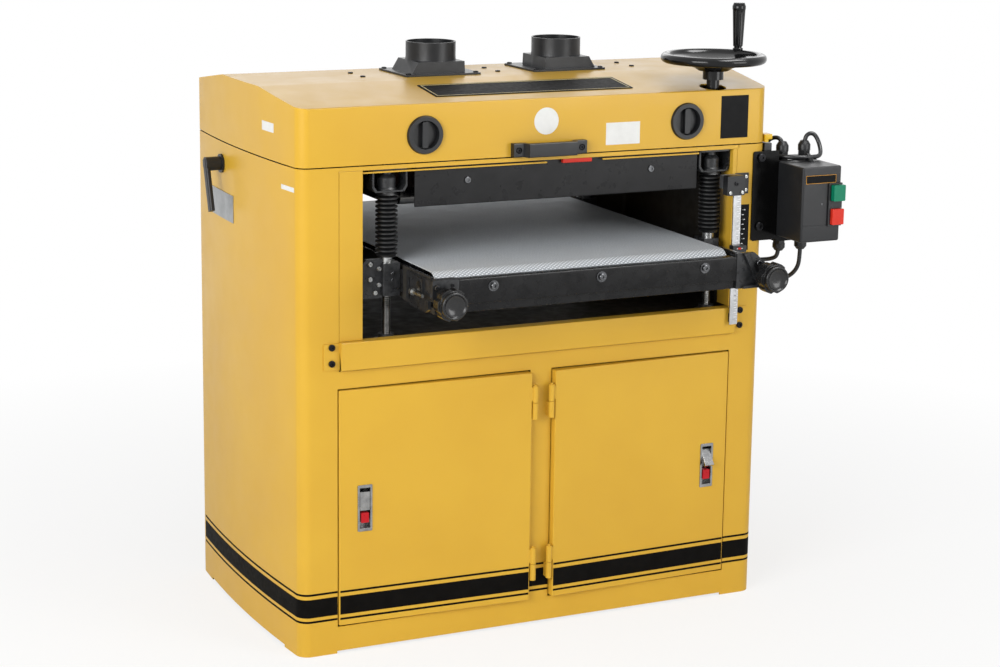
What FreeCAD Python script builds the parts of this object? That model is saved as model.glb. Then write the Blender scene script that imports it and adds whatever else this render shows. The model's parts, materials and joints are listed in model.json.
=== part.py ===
import FreeCAD, Part
import math
import os

# Two-drum thickness sander with a rising conveyor table.
# Millimetres. X runs right along the front, Y to the rear, Z up. Pieces are drawn from the front left
# foot corner of the cabinet and written out about the middle of the footprint.

V = FreeCAD.Vector
os.makedirs("parts", exist_ok=True)

# Footprint middle, measured from the front left foot corner
origin_x = 545.25
origin_y = 268.0

# Cabinet
width = 1016.0
depth = 590.0
side_bow = 14.5
corner_radius = 25.0
sheet = 3.0
seam_z = 957.6
seam_gap = 2.4
foot_length = 75.0
foot_notch = 5.0
strip_end = 950.0
rail_bottom = 568.0
rail_top = 623.0
opening_top = 950.0
outfeed_x = (198.0, 892.0)
outfeed_z = (640.0, 885.0)
shelf_z = 609.0

# Doors
door_bottom = 54.0
door_top = 531.0
door_gap = 2.5
door_pan = 18.0
door_tilt = 1.7
left_door = (76.0, 487.0)
right_door = (533.0, 944.0)
hinge_y = -13.0
hinge_left_x = 492.0
hinge_right_x = 528.0
hinge_heights = (98.0, 433.0)
hinge_length = 68.0

# Hood
slope_front_z = 1071.0
flat_z = 1094.0
flat_start = 186.0
flat_end = 397.0
hood_rear_z = 1066.0
hood_sheet = 2.5
hood_pivot_y = 603.0
fold_radius = 4.0
latch_x = (254.5, 827.5)
latch_z = 1011.5

# Lifting gear: four screws, one under each corner of the table
screw_x = (188.0, 902.0)
screw_y = (29.0, 561.0)
screw_radius = 9.0
journal_radius = 7.5
running = 0.06
block_z = (904.0, 942.0)

# Table at its rest height
belt_top = 767.0
belt_x = (227.0, 862.0)
belt_thickness = 1.7
roller_radius = 25.0
roller_y = (-89.0, 679.0)
roller_z = belt_top - belt_thickness - 0.3 - roller_radius
beam_front = -143.0
beam_top = 757.5
bellows_z = (777.0, 903.6)

# Centres of the two belt tracking knobs, across and up
knob_left = (232.0, 719.0)
knob_right = (930.0, 717.0)

# Sanding head
drum_radius = 63.5
drum_bottom = 870.0
drum_y = (150.0, 440.0)
drum_z = drum_bottom + drum_radius
drum_shaft = 15.0
head_plate_x = (205.0, 885.0)
press_radius = 16.0
press_y = (68.0, 522.0)
press_z = drum_bottom - 1.0 + press_radius

# Drive
motor_y = 295.0
motor_z = 180.0
motor_pulley = 55.0
drum_pulley = 45.0
belt_lanes = (68.0, 88.0)

# Handwheel, over the right front screw
wheel_x = 902.0
wheel_y = 29.0
wheel_z = 1133.0
wheel_radius = 121.0
rim_radius = 10.5
grip_angle = 30.0
grip_offset = 100.0

# Control box
control_x = (1046.0, 1139.0)
control_z = (764.0, 919.0)
control_front = -95.0
start_z = (848.0, 881.0)
stop_z = (799.0, 831.5)
cord_radius = 4.5
cord_hole = 4.9

# Cable routes from the glands of the control box to the cabinet wall
cord_run_z = 926.5
cord_routes = {
    "cord_top_left": [(1074, 30, 936), (1074, 30, 964), (1066, 42, 975), (1055, 60, 968), (1048, 76, 950),
                      (1047, 88, 928), (1042, 96, 908), (1012, 96, 908)],
    "cord_top_right": [(1126, 28, 936), (1126, 28, 964), (1137, 24, 976), (1151, 16, 960), (1152, 5, 938),
                       (1140, -8, 926.5), (1117, -14, 926.5), (1091, -14, 926.5), (1068, 1, 926.5),
                       (1053, 26, 926.5), (1041, 48, 926.5), (1010, 48, 926.5)],
    "cord_low_left": [(1074, 30, 744), (1074, 30, 716), (1067, 43, 706), (1050, 58, 703), (1012, 58, 703)],
    "cord_low_right": [(1126, 28, 742), (1126, 28, 712), (1126, 34, 684), (1116, 52, 662), (1094, 74, 652),
                       (1068, 90, 660), (1048, 98, 675), (1012, 98, 675)],
}
wall_glands = [route[-1][1:] for route in cord_routes.values()]


def box(x, y, z):
    return Part.makeBox(x[1] - x[0], y[1] - y[0], z[1] - z[0], V(x[0], y[0], z[0]))


def rod(axis, radius, start, end, u, v):
    """A cylinder along x, y or z from start to end; u and v are its other two coordinates in order."""
    base = {"x": V(start, u, v), "y": V(u, start, v), "z": V(u, v, start)}[axis]
    way = {"x": V(1, 0, 0), "y": V(0, 1, 0), "z": V(0, 0, 1)}[axis]
    return Part.makeCylinder(radius, end - start, base, way)


def tube(axis, outer, inner, start, end, u, v):
    return rod(axis, outer, start, end, u, v).cut(rod(axis, inner, start - 1, end + 1, u, v))


def prism(axis, points, start, end):
    """A flat outline pushed along an axis; points are (y, z) for x, (x, z) for y and (x, y) for z."""
    place = {
        "x": lambda a, b: V(start, a, b),
        "y": lambda a, b: V(a, start, b),
        "z": lambda a, b: V(a, b, start),
    }[axis]
    way = {"x": V(1, 0, 0), "y": V(0, 1, 0), "z": V(0, 0, 1)}[axis]
    corners = [place(a, b) for a, b in points]
    face = Part.Face(Part.makePolygon(corners + corners[:1]))
    return face.extrude(way * (end - start))


def lathe(profile, x, y):
    """A profile of (radius, height) turned about the vertical through x, y."""
    corners = [V(x + r, y, z) for r, z in profile]
    return Part.Face(Part.makePolygon(corners + corners[:1])).revolve(V(x, y, 0), V(0, 0, 1), 360)


def fuse(shapes):
    whole = shapes[0].fuse(shapes[1:])
    return whole.removeSplitter()


def cut(shape, tools):
    for tool in tools:
        shape = shape.cut(tool)
    return shape


def turned(shape, pivot, axis, degrees):
    copy = shape.copy()
    copy.rotate(pivot, axis, degrees)
    return copy


def mirrored(shape, x):
    return shape.mirror(V(x, 0, 0), V(1, 0, 0))


def round_edges(shape, radius, axis, keep=lambda edge: True):
    """Rounds the straight edges that run along an axis and that keep() accepts."""
    way = {"x": V(1, 0, 0), "y": V(0, 1, 0), "z": V(0, 0, 1)}[axis]
    edges = []
    for edge in shape.Edges:
        if not isinstance(edge.Curve, Part.Line):
            continue
        along = edge.Vertexes[1].Point - edge.Vertexes[0].Point
        if along.Length > 0.5 and abs(abs(along.dot(way)) - along.Length) < 0.001 and keep(edge):
            edges.append(edge)
    return shape.makeFillet(radius, edges)


def round_rim(disc, radius):
    """Rounds the outer circular edges of a disc."""
    widest = max(edge.Curve.Radius for edge in disc.Edges if isinstance(edge.Curve, Part.Circle))
    rims = [edge for edge in disc.Edges
            if isinstance(edge.Curve, Part.Circle) and edge.Curve.Radius > widest - 0.01]
    return disc.makeFillet(radius, rims)


def hex_head(radius, height, axis, start, u, v):
    """A six-sided head along an axis, radius measured to its corners."""
    ring = [(u + radius * math.cos(math.radians(60 * k)), v + radius * math.sin(math.radians(60 * k)))
            for k in range(6)]
    return prism(axis, ring, start, start + height)


def socket_screw(radius, height, axis, start, u, v, way):
    """A round head with a six-sided socket; way is the side the head stands on, +1 or -1."""
    end = start + way * height
    head = rod(axis, radius, min(start, end), max(start, end), u, v)
    low, high = sorted((end - way * height * 0.6, end + way))
    return head.cut(hex_head(radius * 0.5, high - low, axis, low, u, v))


def cabinet_outline(inset, bottom, top):
    """The cabinet's plan, with bowed sides, drawn in by inset and pushed up from bottom to top."""
    x0, x1, y0, y1 = inset, width - inset, inset, depth - inset
    middle = depth / 2
    edges = [
        Part.makeLine(V(x0, y0, bottom), V(x1, y0, bottom)),
        Part.Arc(V(x1, y0, bottom), V(x1 + side_bow, middle, bottom), V(x1, y1, bottom)).toShape(),
        Part.makeLine(V(x1, y1, bottom), V(x0, y1, bottom)),
        Part.Arc(V(x0, y1, bottom), V(x0 - side_bow, middle, bottom), V(x0, y0, bottom)).toShape(),
    ]
    solid = Part.Face(Part.Wire(edges)).extrude(V(0, 0, top - bottom))
    front = round_edges(solid, corner_radius - inset, "z", lambda e: e.Vertexes[0].Y < middle)
    return round_edges(front, 12 - inset, "z", lambda e: e.Vertexes[0].Y > depth - 20)


def wall_x(y, right):
    """Outside face of a bowed side wall at depth y."""
    share = y / depth
    bulge = 4 * side_bow * share * (1 - share)
    return width + bulge if right else -bulge


written = []


def export(name, shapes):
    """Writes one node: a solid, or separate solids that are one kind of piece."""
    pieces = shapes if isinstance(shapes, list) else [shapes]
    whole = pieces[0] if len(pieces) == 1 else Part.makeCompound(pieces)
    whole = whole.copy()
    whole.translate(V(-origin_x, -origin_y, 0))
    whole.exportStep("parts/%s.step" % name)
    size = whole.BoundBox
    written.append(name)
    print("%-20s %3d solids %9.0f mm3 valid %s  x %.1f..%.1f y %.1f..%.1f z %.1f..%.1f" % (
        name, len(whole.Solids), whole.Volume, whole.isValid(),
        size.XMin, size.XMax, size.YMin, size.YMax, size.ZMin, size.ZMax))


# Cabinet

def cabinet_shell():
    walls = cabinet_outline(0, 0, seam_z).cut(cabinet_outline(sheet, -1, seam_z + 1))
    window_z = (rail_bottom - 3, opening_top)
    cuts = [
        box((79, 948), (-5, sheet + 2), window_z),
        box(outfeed_x, (depth - 9, depth + 5), outfeed_z),
        box((foot_length, width - foot_length), (-5, depth + 5), (-1, foot_notch)),
        box((-30, width + 30), (foot_length, depth - foot_length), (-1, foot_notch)),
        rod("x", 11, -20, 10, lever_y, lever_z),
        box((strip_end, strip_end + 2), (-5, sheet + 2), (seam_z - 6, seam_z + 2)),
    ]
    for left, right in (left_door, right_door):
        cuts.append(box((left, right), (-5, sheet + 2), (door_bottom, door_top)))
    for y, z in wall_glands:
        cuts.append(rod("x", cord_hole + 1, width - 10, width + 20, y, z))
    return cut(walls, cuts)


def inner_panels():
    """Floor pan, shelf under the table, folded columns beside its opening and the turned-in top lip."""
    pan = cabinet_outline(sheet + 0.4, 20, 23)
    shelf = cabinet_outline(sheet + 0.4, shelf_z, shelf_z + sheet)
    shelf = cut(shelf, [rod("z", 10, shelf_z - 5, shelf_z + 9, x, y) for x in screw_x for y in screw_y])
    shelf = shelf.cut(box((52, 104), (140, 450), (shelf_z - 5, shelf_z + 9)))
    low, high = rail_top + 0.6, opening_top - 0.4
    left = prism("z", [(80, 0), (127.5, 0), (127.5, 60), (124.5, 60),
                       (124.5, 3), (83, 3), (83, 30), (80, 30)], low, high)
    right = prism("z", [(947.4, 0), (938, 0), (938, 60), (941, 60), (941, 3), (947.4, 3)], low, high)
    lips = [box(x, (sheet + 0.2, 8.2), (943, 946)) for x in lip_spans]
    return [pan, shelf, left, right] + lips


lip_spans = ((128.0, 517.0), (641.0, 860.0))


def front_rail():
    low, high = rail_bottom, rail_top
    profile = [(12, high), (-12, high), (-12, low), (0, low), (0, low + 3), (-9, low + 3), (-9, high - 3),
               (12, high - 3)]
    bar = round_edges(prism("x", profile, 79.5, 947.5), 2.5, "x", lambda e: e.Vertexes[0].Y < -11)
    ends = [box(x, (-11, 0), (rail_bottom + 1, rail_top - 1)) for x in ((79.5, 82.5), (944.5, 947.5))]
    tabs = [box(x, (-sheet, -0.1), (570, 621)) for x in ((47, 82), (945, 980))]
    rail = fuse([bar] + ends + tabs)
    return cut(rail, [rod("y", 4, -10, 5, x, z) for x in rail_screw_x for z in rail_screw_z])


rail_screw_x = (63.0, 964.0)
rail_screw_z = (583.0, 614.5)
lever_y = 405.0
lever_z = 914.0


def head_frame():
    """Welded frame of flat bars under the seam, two side plates that carry the drums, ties and catches."""
    low, high = 950.2, 954
    clear = [rod("z", 13, low - 5, high + 5, x, y) for x in screw_x for y in screw_y]
    clear += [box((186, 904), (y - 46, y + 46), (low - 5, high + 5)) for y in drum_y]
    bars = [
        ((30, width - 30), (4, 48)),
        ((30, width - 30), (depth - 48, depth - 4)),
        ((30, 50), (48, depth - 48)),
        ((50, 106), (48, 95)),
        ((50, 106), (495, depth - 48)),
        ((106, 200), (48, depth - 48)),
        ((890, width - 30), (48, depth - 48)),
    ]
    parts = [cut(box(x, y, (low, high)), clear) for x, y in bars]
    window_y = (drum_y[1] - 35, drum_y[1] + 35)
    window_z = (drum_z - 38, drum_z + 39.5)
    front = [(30, 954), (50, 954), (50, 872), (window_y[0], 872), (window_y[0], 1000), (30, 1000)]
    rear = [(window_y[1], 872), (540, 872), (540, 954), (560, 954), (560, 1000), (window_y[1], 1000)]
    for x in (head_plate_x[0], head_plate_x[1] - 10):
        plate = round_edges(prism("x", front, x, x + 10), 14, "x", outer_corner)
        holes = [rod("x", 30, x - 5, x + 15, drum_y[0], drum_z)]
        holes += [rod("x", 8, x - 5, x + 15, y, press_z) for y in press_y]
        parts.append(cut(plate, holes))
        plate = round_edges(prism("x", rear, x, x + 10), 14, "x", outer_corner)
        parts.append(cut(plate, holes))
        parts.append(box((x, x + 10), window_y, (872, window_z[0])))
        parts.append(box((x, x + 10), window_y, (window_z[1], 1000)))
    for y in (60, 295, 530):
        parts.append(tube("x", 12, 9, head_plate_x[0] + 10, head_plate_x[1] - 10, y, 978))
    for x in latch_x:
        parts.append(box((x + 34, x + 64), (8, 12), (high, 990)))
    return parts


def outer_corner(edge):
    """The top corners of the side plates at the front and the rear of the machine."""
    spot = edge.Vertexes[0]
    return spot.Z > 990 and not 100 < spot.Y < 500


def top_block(x, y):
    """Cast bracket of a screw's top bearing: two plates, two wings with feet and the bearing hub between."""
    low, high = block_z[0], 950
    plate = round_edges(box((x - 36, x + 36), (y - 20.5, y + 20.5), (high - 5, high)), 4, "z")
    tray = round_edges(box((x - 30, x + 30), (y - 19, y + 19), (low, low + 3)), 6, "z")
    hub = lathe([(0, low), (19, low), (19, low + 5), (17, low + 8), (17, low + 26),
                 (13, low + 31), (10, low + 33), (10, high - 3), (0, high - 3)], x, y)
    wing = [(x - 36, high - 3), (x - 36, low + 10), (x - 30, low), (x - 24, low), (x - 32.5, low + 12),
            (x - 32.5, high - 3)]
    left = prism("y", wing, y - 17, y + 17)
    bracket = fuse([plate, tray, hub, left, mirrored(left, x)])
    return bracket.cut(rod("z", journal_radius + running, 890, 960, x, y))


def bearing_blocks():
    """Bearings of the four screws, top and bottom, and of the front drum."""
    blocks = []
    for x in screw_x:
        for y in screw_y:
            blocks.append(top_block(x, y))
            foot = fuse([rod("z", 24, shelf_z + sheet, shelf_z + sheet + 4, x, y),
                         rod("z", 16, shelf_z + sheet, shelf_z + sheet + 14, x, y)])
            blocks.append(foot.cut(rod("z", journal_radius + running, 600, 640, x, y)))
    for x, way in ((head_plate_x[0], -1), (head_plate_x[1], 1)):
        near, far = sorted((x, x + way * 16))
        flange = tube("x", 42, drum_shaft + running, min(x, x + way * 6), max(x, x + way * 6),
                      drum_y[0], drum_z)
        hub = tube("x", 26, drum_shaft + running, near, far, drum_y[0], drum_z)
        blocks.append(fuse([flange, hub]))
    return blocks


def guard_plates():
    """Covers hung across the front and rear of the drums, and the red bar of the front one."""
    shield = fuse([box((240, 862), (14, 17), (871, 950)), box((240, 862), (17, 44), (947, 950))])
    shield = round_edges(shield, 2, "x", lambda e: e.Vertexes[0].Z < 872 and e.Vertexes[0].Y < 15)
    rear = shield.mirror(V(0, depth / 2, 0), V(0, 1, 0))
    bar = round_edges(box((552, 616), (3.5, 12), (941, 949.5)), 1.5, "x")
    return [shield, rear, bar]


def screws_on_cabinet():
    heads = [socket_screw(6.5, 4, "y", -sheet, x, z, -1) for x in rail_screw_x for z in rail_screw_z]
    heads += [socket_screw(7, 3, "y", 14, x, 917.5, -1) for x in (351, 755)]
    heads += [socket_screw(8.5, 5, "y", -3, 1003, z, -1) for z in (787, 929)]
    heads += [socket_screw(4, 3, "y", -3, 968, z, -1) for z in (865, 892)]
    for x in screw_x:
        for y in screw_y:
            heads += [hex_head(5, 4, "z", 941, x + dx, y - 12 if y < 295 else y + 12) for dx in (-25, 25)]
    return heads


def hinge_posts():
    """Fixed barrel of each door hinge with its pin, and the fixed knuckles at the rear of the hood."""
    posts = []
    for x, side in ((hinge_left_x, 1), (hinge_right_x, -1)):
        for z in hinge_heights:
            barrel = rod("z", 6, z, z + hinge_length / 2 - 0.5, x, hinge_y)
            near, far = sorted((x, x + side * 5.5))
            leaf = box((near, far), (hinge_y, 0), (z + 2, z + hinge_length / 2 - 3))
            pin = rod("z", 3, z, z + hinge_length + 3, x, hinge_y)
            posts.append(fuse([barrel, leaf, pin]))
    for x in (200, 816):
        knuckle = rod("x", 6, x - 30, x + 30, hood_pivot_y, seam_z - 2)
        web = box((x - 30, x + 30), (depth, hood_pivot_y), (seam_z - 40, seam_z - 1))
        web = web.cut(box((x - 31, x + 31), (depth + 4, hood_pivot_y + 1), (seam_z - 41, seam_z - 9)))
        pin = rod("x", 3, x - 52, x + 52, hood_pivot_y, seam_z - 2)
        posts.append(fuse([knuckle, web, pin]))
    return posts


def chart_plate():
    skin = cabinet_outline(-1.4, 803, 858).cut(cabinet_outline(-0.05, 800, 860))
    return skin.common(box((-40, 200), (332, 497), (803, 858)))


def depth_scale():
    """Steel rule in front of the right post, its top clamp and its lower spacer."""
    rule = box((929, 947), (-22, -19), (590, 872))
    clamp = round_edges(box((903, 944), (-40, -22.5), (861, 901)), 3, "y")
    clamp = fuse([clamp, box((906, 944), (-24, -3), (872.5, 899)), box((944, 975), (-sheet, 0), (857, 900))])
    spacer = box((931, 942), (-19, -12), (594, 612))
    return [rule, clamp, spacer]


# Control box

def control_base():
    back = fuse([box((985, 1046), (-3, 0), (757, 942)), box((1044, 1137), (-3, 0), (757, 919))])
    back = round_edges(back, 5, "y", lambda e: e.Vertexes[0].X < 990)
    housing = round_edges(box(control_x, (-1, 62), (752, 921)), 3, "y", lambda e: e.Vertexes[0].X > 1136)
    base = fuse([back, housing])
    base = base.cut(box((1050, 1132), (1, 58), (762, 911)))
    base = base.cut(box((1056, 1126), (-5, 3), (775, 905)))
    holes = [rod("z", cord_hole + 1, 745, 765, x, y) for x, y in gland_spots]
    holes += [rod("z", cord_hole + 1, 905, 925, x, y) for x, y in gland_spots]
    holes += [rod("y", 5, -5, 3, 1003, z) for z in (787, 929)]
    return cut(base, holes)


gland_spots = ((1074.0, 30.0), (1126.0, 28.0))


def control_cover():
    """Deep cover with rounded edges, an opening for the two buttons and the switch frame around it."""
    x, z = control_x, control_z
    cover = box(x, (control_front, -3.2), z)
    cover = round_edges(cover, 5, "z", lambda e: e.Vertexes[0].Y < -90)
    cover = round_edges(cover, 4, "x", lambda e: e.Vertexes[0].Y < -90)
    cover = cover.cut(box((x[0] + 3, x[1] - 3), (control_front + 3, 0), (z[0] + 3, z[1] - 3)))
    cover = cover.cut(box((x[0] + 2, 1106), (control_front - 1, control_front + 0.8), (798, 799)))
    low, high = stop_z[0] - 3.5, start_z[1] + 3.5
    cover = cover.cut(box((1107, x[1] + 1), (control_front - 1, control_front + 8), (low, high)))
    frame = box((1107.4, x[1] + 0.5), (control_front - 4, control_front + 14), (low + 0.4, high - 0.4))
    wells = [box((1112, x[1] + 2), (control_front - 9, control_front + 9), (z0 - 0.6, z1 + 0.6))
             for z0, z1 in (start_z, stop_z)]
    frame = cut(frame, wells)
    return [cover, frame.cut(cover)]


def switch_button(low, high, proud):
    key = box((1113.5, 1141), (control_front - proud, control_front + 3), (low, high))
    return round_edges(key, 2, "y")


def electrical_fittings():
    """Cable glands of the control box and wall, the clamp on the box and the hood switch."""
    pieces = []
    for x, y in gland_spots:
        for way, z, length in ((1, 921, 34), (-1, 752, 26)):
            nut = hex_head(13.5, length * 0.4, "z", z if way > 0 else z - length * 0.4, x, y)
            dome = lathe([(0, z + way * length * 0.4), (13, z + way * length * 0.4),
                          (13, z + way * length * 0.75), (8, z + way * length),
                          (0, z + way * length)], x, y)
            pieces.append(fuse([nut, dome]).cut(rod("z", cord_hole, z - 40, z + 40, x, y)))
    for y, z in wall_glands:
        x = wall_x(y, True)
        sleeve = tube("x", 11, cord_hole, x - 3, x + 6, y, z)
        pieces.append(sleeve.cut(cabinet_outline(-0.05, z - 20, z + 20)))
    strap = tube("x", cord_radius + 3, cord_hole, 1104, 1112, -14, cord_run_z)
    clamp = fuse([strap, box((1104, 1112), (-32, -14), (919, 921.5))])
    clamp = clamp.cut(rod("x", cord_hole, 1090, 1120, -14, cord_run_z))
    clamp = clamp.cut(box((1090, 1120), (-40, 10), (900, 919)))
    pieces.append(fuse([clamp, rod("z", 5, 921, 925, 1108, -26)]))
    switch = box((1016, 1033), (6, 32), (930, 957))
    pieces.append(round_edges(switch, 2.5, "x").cut(cabinet_outline(-0.1, 900, 980)))
    return pieces


def cord(points):
    """A round cable along straight runs joined by tangent arcs."""
    stops = [V(*p) for p in points]
    edges = []
    start = stops[0]
    tightest = 1e9
    for before, here, after in zip(stops, stops[1:], stops[2:]):
        a = before - here
        b = after - here
        half = (math.pi - a.getAngle(b)) / 2
        radius = 0.45 * min(a.Length, b.Length) / math.tan(half)
        tightest = min(tightest, radius)
        a.normalize()
        b.normalize()
        setback = radius * math.tan(half)
        first, last = here + a * setback, here + b * setback
        inward = a + b
        inward.normalize()
        middle = here + inward * (radius / math.cos(half) - radius)
        edges.append(Part.makeLine(start, first))
        edges.append(Part.Arc(first, middle, last).toShape())
        start = last
    edges.append(Part.makeLine(start, stops[-1]))
    path = Part.Wire(edges)
    ring = Part.Wire(Part.makeCircle(cord_radius, stops[0], stops[1] - stops[0]))
    solid = path.makePipeShell([ring], True, True)
    ideal = math.pi * cord_radius ** 2 * path.Length
    print("cord length %.1f tightest %.1f volume ratio %.4f" % (path.Length, tightest, solid.Volume / ideal))
    return solid


# Drive

def drive_motor():
    """Main motor with cooling ribs, end bells, conduit box and foot plate."""
    y, z = motor_y, motor_z
    body = rod("x", 84, 160, 370, y, z)
    ribs = []
    for k in range(16):
        rib = box((170, 360), (y - 2, y + 2), (z + 80, z + 92))
        ribs.append(turned(rib, V(160, y, z), V(1, 0, 0), 22.5 * k + 11.25))
    bells = [Part.makeCone(62, 88, 25, V(135, y, z), V(1, 0, 0)),
             Part.makeCone(88, 66, 30, V(370, y, z), V(1, 0, 0)),
             rod("x", 60, 400, 410, y, z)]
    foot = fuse([box((180, 350), (y - 80, y + 80), (80, 90)), box((190, 340), (y - 50, y + 50), (90, 120))])
    legs = [box((180, 350), (y + d, y + d + 8), (23, 80)) for d in (-70, 62)]
    conduit = round_edges(box((220, 310), (y - 45, y + 45), (z + 78, z + 120)), 6, "z")
    motor = fuse([body] + ribs + bells + [foot, conduit] + legs)
    return motor.cut(rod("x", 14 + running, 130, 160, y, z))


def grooved_pulley(radius, lanes, y, z):
    """A pulley with a vee groove at each lane."""
    wheel = rod("x", radius, min(lanes) - 9, max(lanes) + 9, y, z)
    for x in lanes:
        vee = [V(x - 6, y, z + radius + 0.5), V(x + 6, y, z + radius + 0.5), V(x + 3.4, y, z + radius - 9),
               V(x - 3.4, y, z + radius - 9)]
        ring = Part.Face(Part.makePolygon(vee + vee[:1])).revolve(V(x, y, z), V(1, 0, 0), 360)
        wheel = wheel.cut(ring)
    return wheel


def motor_rotor():
    shaft = rod("x", 14, 50, 155, motor_y, motor_z)
    return fuse([grooved_pulley(motor_pulley, belt_lanes, motor_y, motor_z), shaft])


def belt_loop(x, y0, z0, r0, y1, z1, r1, half_width, thick):
    """A vee belt round two pulleys; r0 and r1 are the radii of its inner face."""
    span = math.hypot(y1 - y0, z1 - z0)
    lean = math.asin((r0 - r1) / span)
    way = math.atan2(z1 - z0, y1 - y0)

    def loop(extra):
        """The loop's outline, grown outward by extra."""
        a, b = r0 + extra, r1 + extra
        points = []
        for side in (1, -1):
            angle = way + side * (math.pi / 2 - lean)
            points.append((V(x, y0 + a * math.cos(angle), z0 + a * math.sin(angle)),
                           V(x, y1 + b * math.cos(angle), z1 + b * math.sin(angle))))
        back = V(x, y0 - a * math.cos(way), z0 - a * math.sin(way))
        front = V(x, y1 + b * math.cos(way), z1 + b * math.sin(way))
        return Part.Wire([Part.makeLine(points[0][0], points[0][1]),
                          Part.Arc(points[0][1], front, points[1][1]).toShape(),
                          Part.makeLine(points[1][1], points[1][0]),
                          Part.Arc(points[1][0], back, points[0][0]).toShape()])

    outer = Part.Face(loop(thick)).extrude(V(2 * half_width, 0, 0))
    inner = Part.Face(loop(0)).extrude(V(2 * half_width, 0, 0))
    band = outer.cut(inner)
    band.translate(V(-half_width, 0, 0))
    return band


def drive_belts():
    """One belt from the motor to each drum. The rear drum rides up and down a little inside its loop."""
    seat = 7.5
    front = belt_loop(belt_lanes[0], motor_y, motor_z, motor_pulley - seat, drum_y[0], drum_z,
                      drum_pulley - seat, 3.0, 7)
    rear = belt_loop(belt_lanes[1], motor_y, motor_z, motor_pulley - seat, drum_y[1], drum_z + 0.6,
                     drum_pulley - seat + 1.2, 2.6, 7)
    return [front, rear]


def lift_chain():
    """Roller chain that ties the four lifting screws together, drawn as its envelope, and its idler."""
    inner, outer = 15.6, 21.0

    def loop(radius):
        slab = box((screw_x[0] - radius, screw_x[1] + radius),
                   (screw_y[0] - radius, screw_y[1] + radius), (578, 586))
        return round_edges(slab, radius, "z")

    band = loop(outer).cut(loop(inner))
    idler = tube("z", 13, 5, 574, 590, 545, screw_y[1] + outer - inner - 25)
    arm = fuse([rod("z", 4.9, 570, 609, 545, screw_y[1] + outer - inner - 25),
                box((525, 565), (screw_y[1] - 40, screw_y[1] - 8), (605, 609))])
    return [band, fuse([idler, arm])]


def lead_screw(x, y, driven):
    """Lifting screw with its sprocket; the driven one carries the dog that meets the handwheel shaft."""
    parts = [
        rod("z", journal_radius, 562, 626.5, x, y),
        rod("z", screw_radius, 626.5, 903, x, y),
        rod("z", journal_radius, 903, 956, x, y),
        rod("z", 15.2, 577, 587, x, y),
        rod("z", 11, 566, 577, x, y),
        rod("z", 11, 950.6, 956, x, y),
    ]
    if driven:
        parts.append(box((x - 2.5, x + 2.5), (y - 7, y + 7), (956, 966)))
    return fuse(parts)


def bellows():
    """Rubber sleeves over the screws above the table."""
    folds = 18
    low, high = bellows_z
    pitch = (high - low - 8) / folds
    sleeves = []
    for x in screw_x:
        for y in screw_y:
            profile = [(11.5, low), (19, low), (19, low + 4)]
            for k in range(folds):
                profile.append((22, low + 4 + (k + 0.5) * pitch))
                profile.append((16, low + 4 + (k + 1) * pitch))
            profile += [(18, high - 3.9), (18, high), (11.5, high)]
            sleeves.append(lathe(profile, x, y))
    return sleeves


# Table

def conveyor_belt():
    def loop(extra):
        r = roller_radius + 0.3 + extra
        a, b = V(belt_x[0], roller_y[0], roller_z + r), V(belt_x[0], roller_y[1], roller_z + r)
        c, d = V(belt_x[0], roller_y[1], roller_z - r), V(belt_x[0], roller_y[0], roller_z - r)
        front, rear = V(belt_x[0], roller_y[0] - r, roller_z), V(belt_x[0], roller_y[1] + r, roller_z)
        edges = [Part.makeLine(a, b), Part.Arc(b, rear, c).toShape(), Part.makeLine(c, d),
                 Part.Arc(d, front, a).toShape()]
        return Part.Face(Part.Wire(edges)).extrude(V(belt_x[1] - belt_x[0], 0, 0))
    return loop(belt_thickness).cut(loop(0))


def belt_roller(y, driven):
    """Belt roller with stub shafts; the rear one is driven by the feed motor."""
    core = tube("x", roller_radius, 20, belt_x[0] + 3, belt_x[1] - 3, y, roller_z)
    ends = [rod("x", 21, x, x + 8, y, roller_z) for x in (belt_x[0] + 5, belt_x[1] - 13)]
    shaft = rod("x", 10, 208 if driven else 203, 900 if driven else 886, y, roller_z)
    return fuse([core] + ends + [shaft])


def table_frame():
    """Slider bed under the belt, its cross tubes, side plates with slots and the front and rear beams."""
    bed = box((229, 860), (-55, 645), (757.5, 765))
    tubes = [box((222, 867), (y, y + 40), (724, 757.5)).cut(box((220, 870), (y + 3, y + 37), (727, 754.5)))
             for y in (40, 275, 510)]
    ribs = [box((x, x + 6), (-50, 640), (730, 757.5)) for x in (330, 545, 760)]
    side = [(-119, 700), (-112, 693), (10, 693), (40, 700), (550, 700), (580, 693), (702, 693), (709, 700),
            (709, 761), (-119, 761)]
    plates = []
    for x in (216, 867):
        plate = prism("x", side, x, x + 6)
        slots = [box((x - 2, x + 8), (y - 14, y + 14), (roller_z - 10.5, roller_z + 10.5)) for y in roller_y]
        slots += [box((x - 2, x + 8), (-24, -18), (702, 742)), box((x - 2, x + 8), (608, 614), (702, 742))]
        plates.append(cut(plate, slots))
    beam = [(beam_front, 709), (beam_front, beam_top), (-121, beam_top), (-121, beam_top - 3.5),
            (-139, beam_top - 3.5), (-139, 712.5), (-133, 712.5), (-133, 696.5), (-121, 696.5), (-121, 693),
            (-137, 693), (-137, 709)]
    front = round_edges(prism("x", beam, 264, 867), 2.5, "x", lambda e: e.Vertexes[0].Y < beam_front + 0.1)
    rear = prism("x", [(depth - y, z) for y, z in beam], 264, 867)
    ties = [box((216, 264), y, (693, 705)) for y in ((-137, -119), (709, 727))]
    ties += [box((867, 873), y, (693, 761)) for y in ((-134.5, -119), (709, 727))]
    ties.append(box((216, 264), (709, 733), (705, 761)))
    return fuse([bed] + tubes + ribs + plates + [front, rear] + ties)


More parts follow.
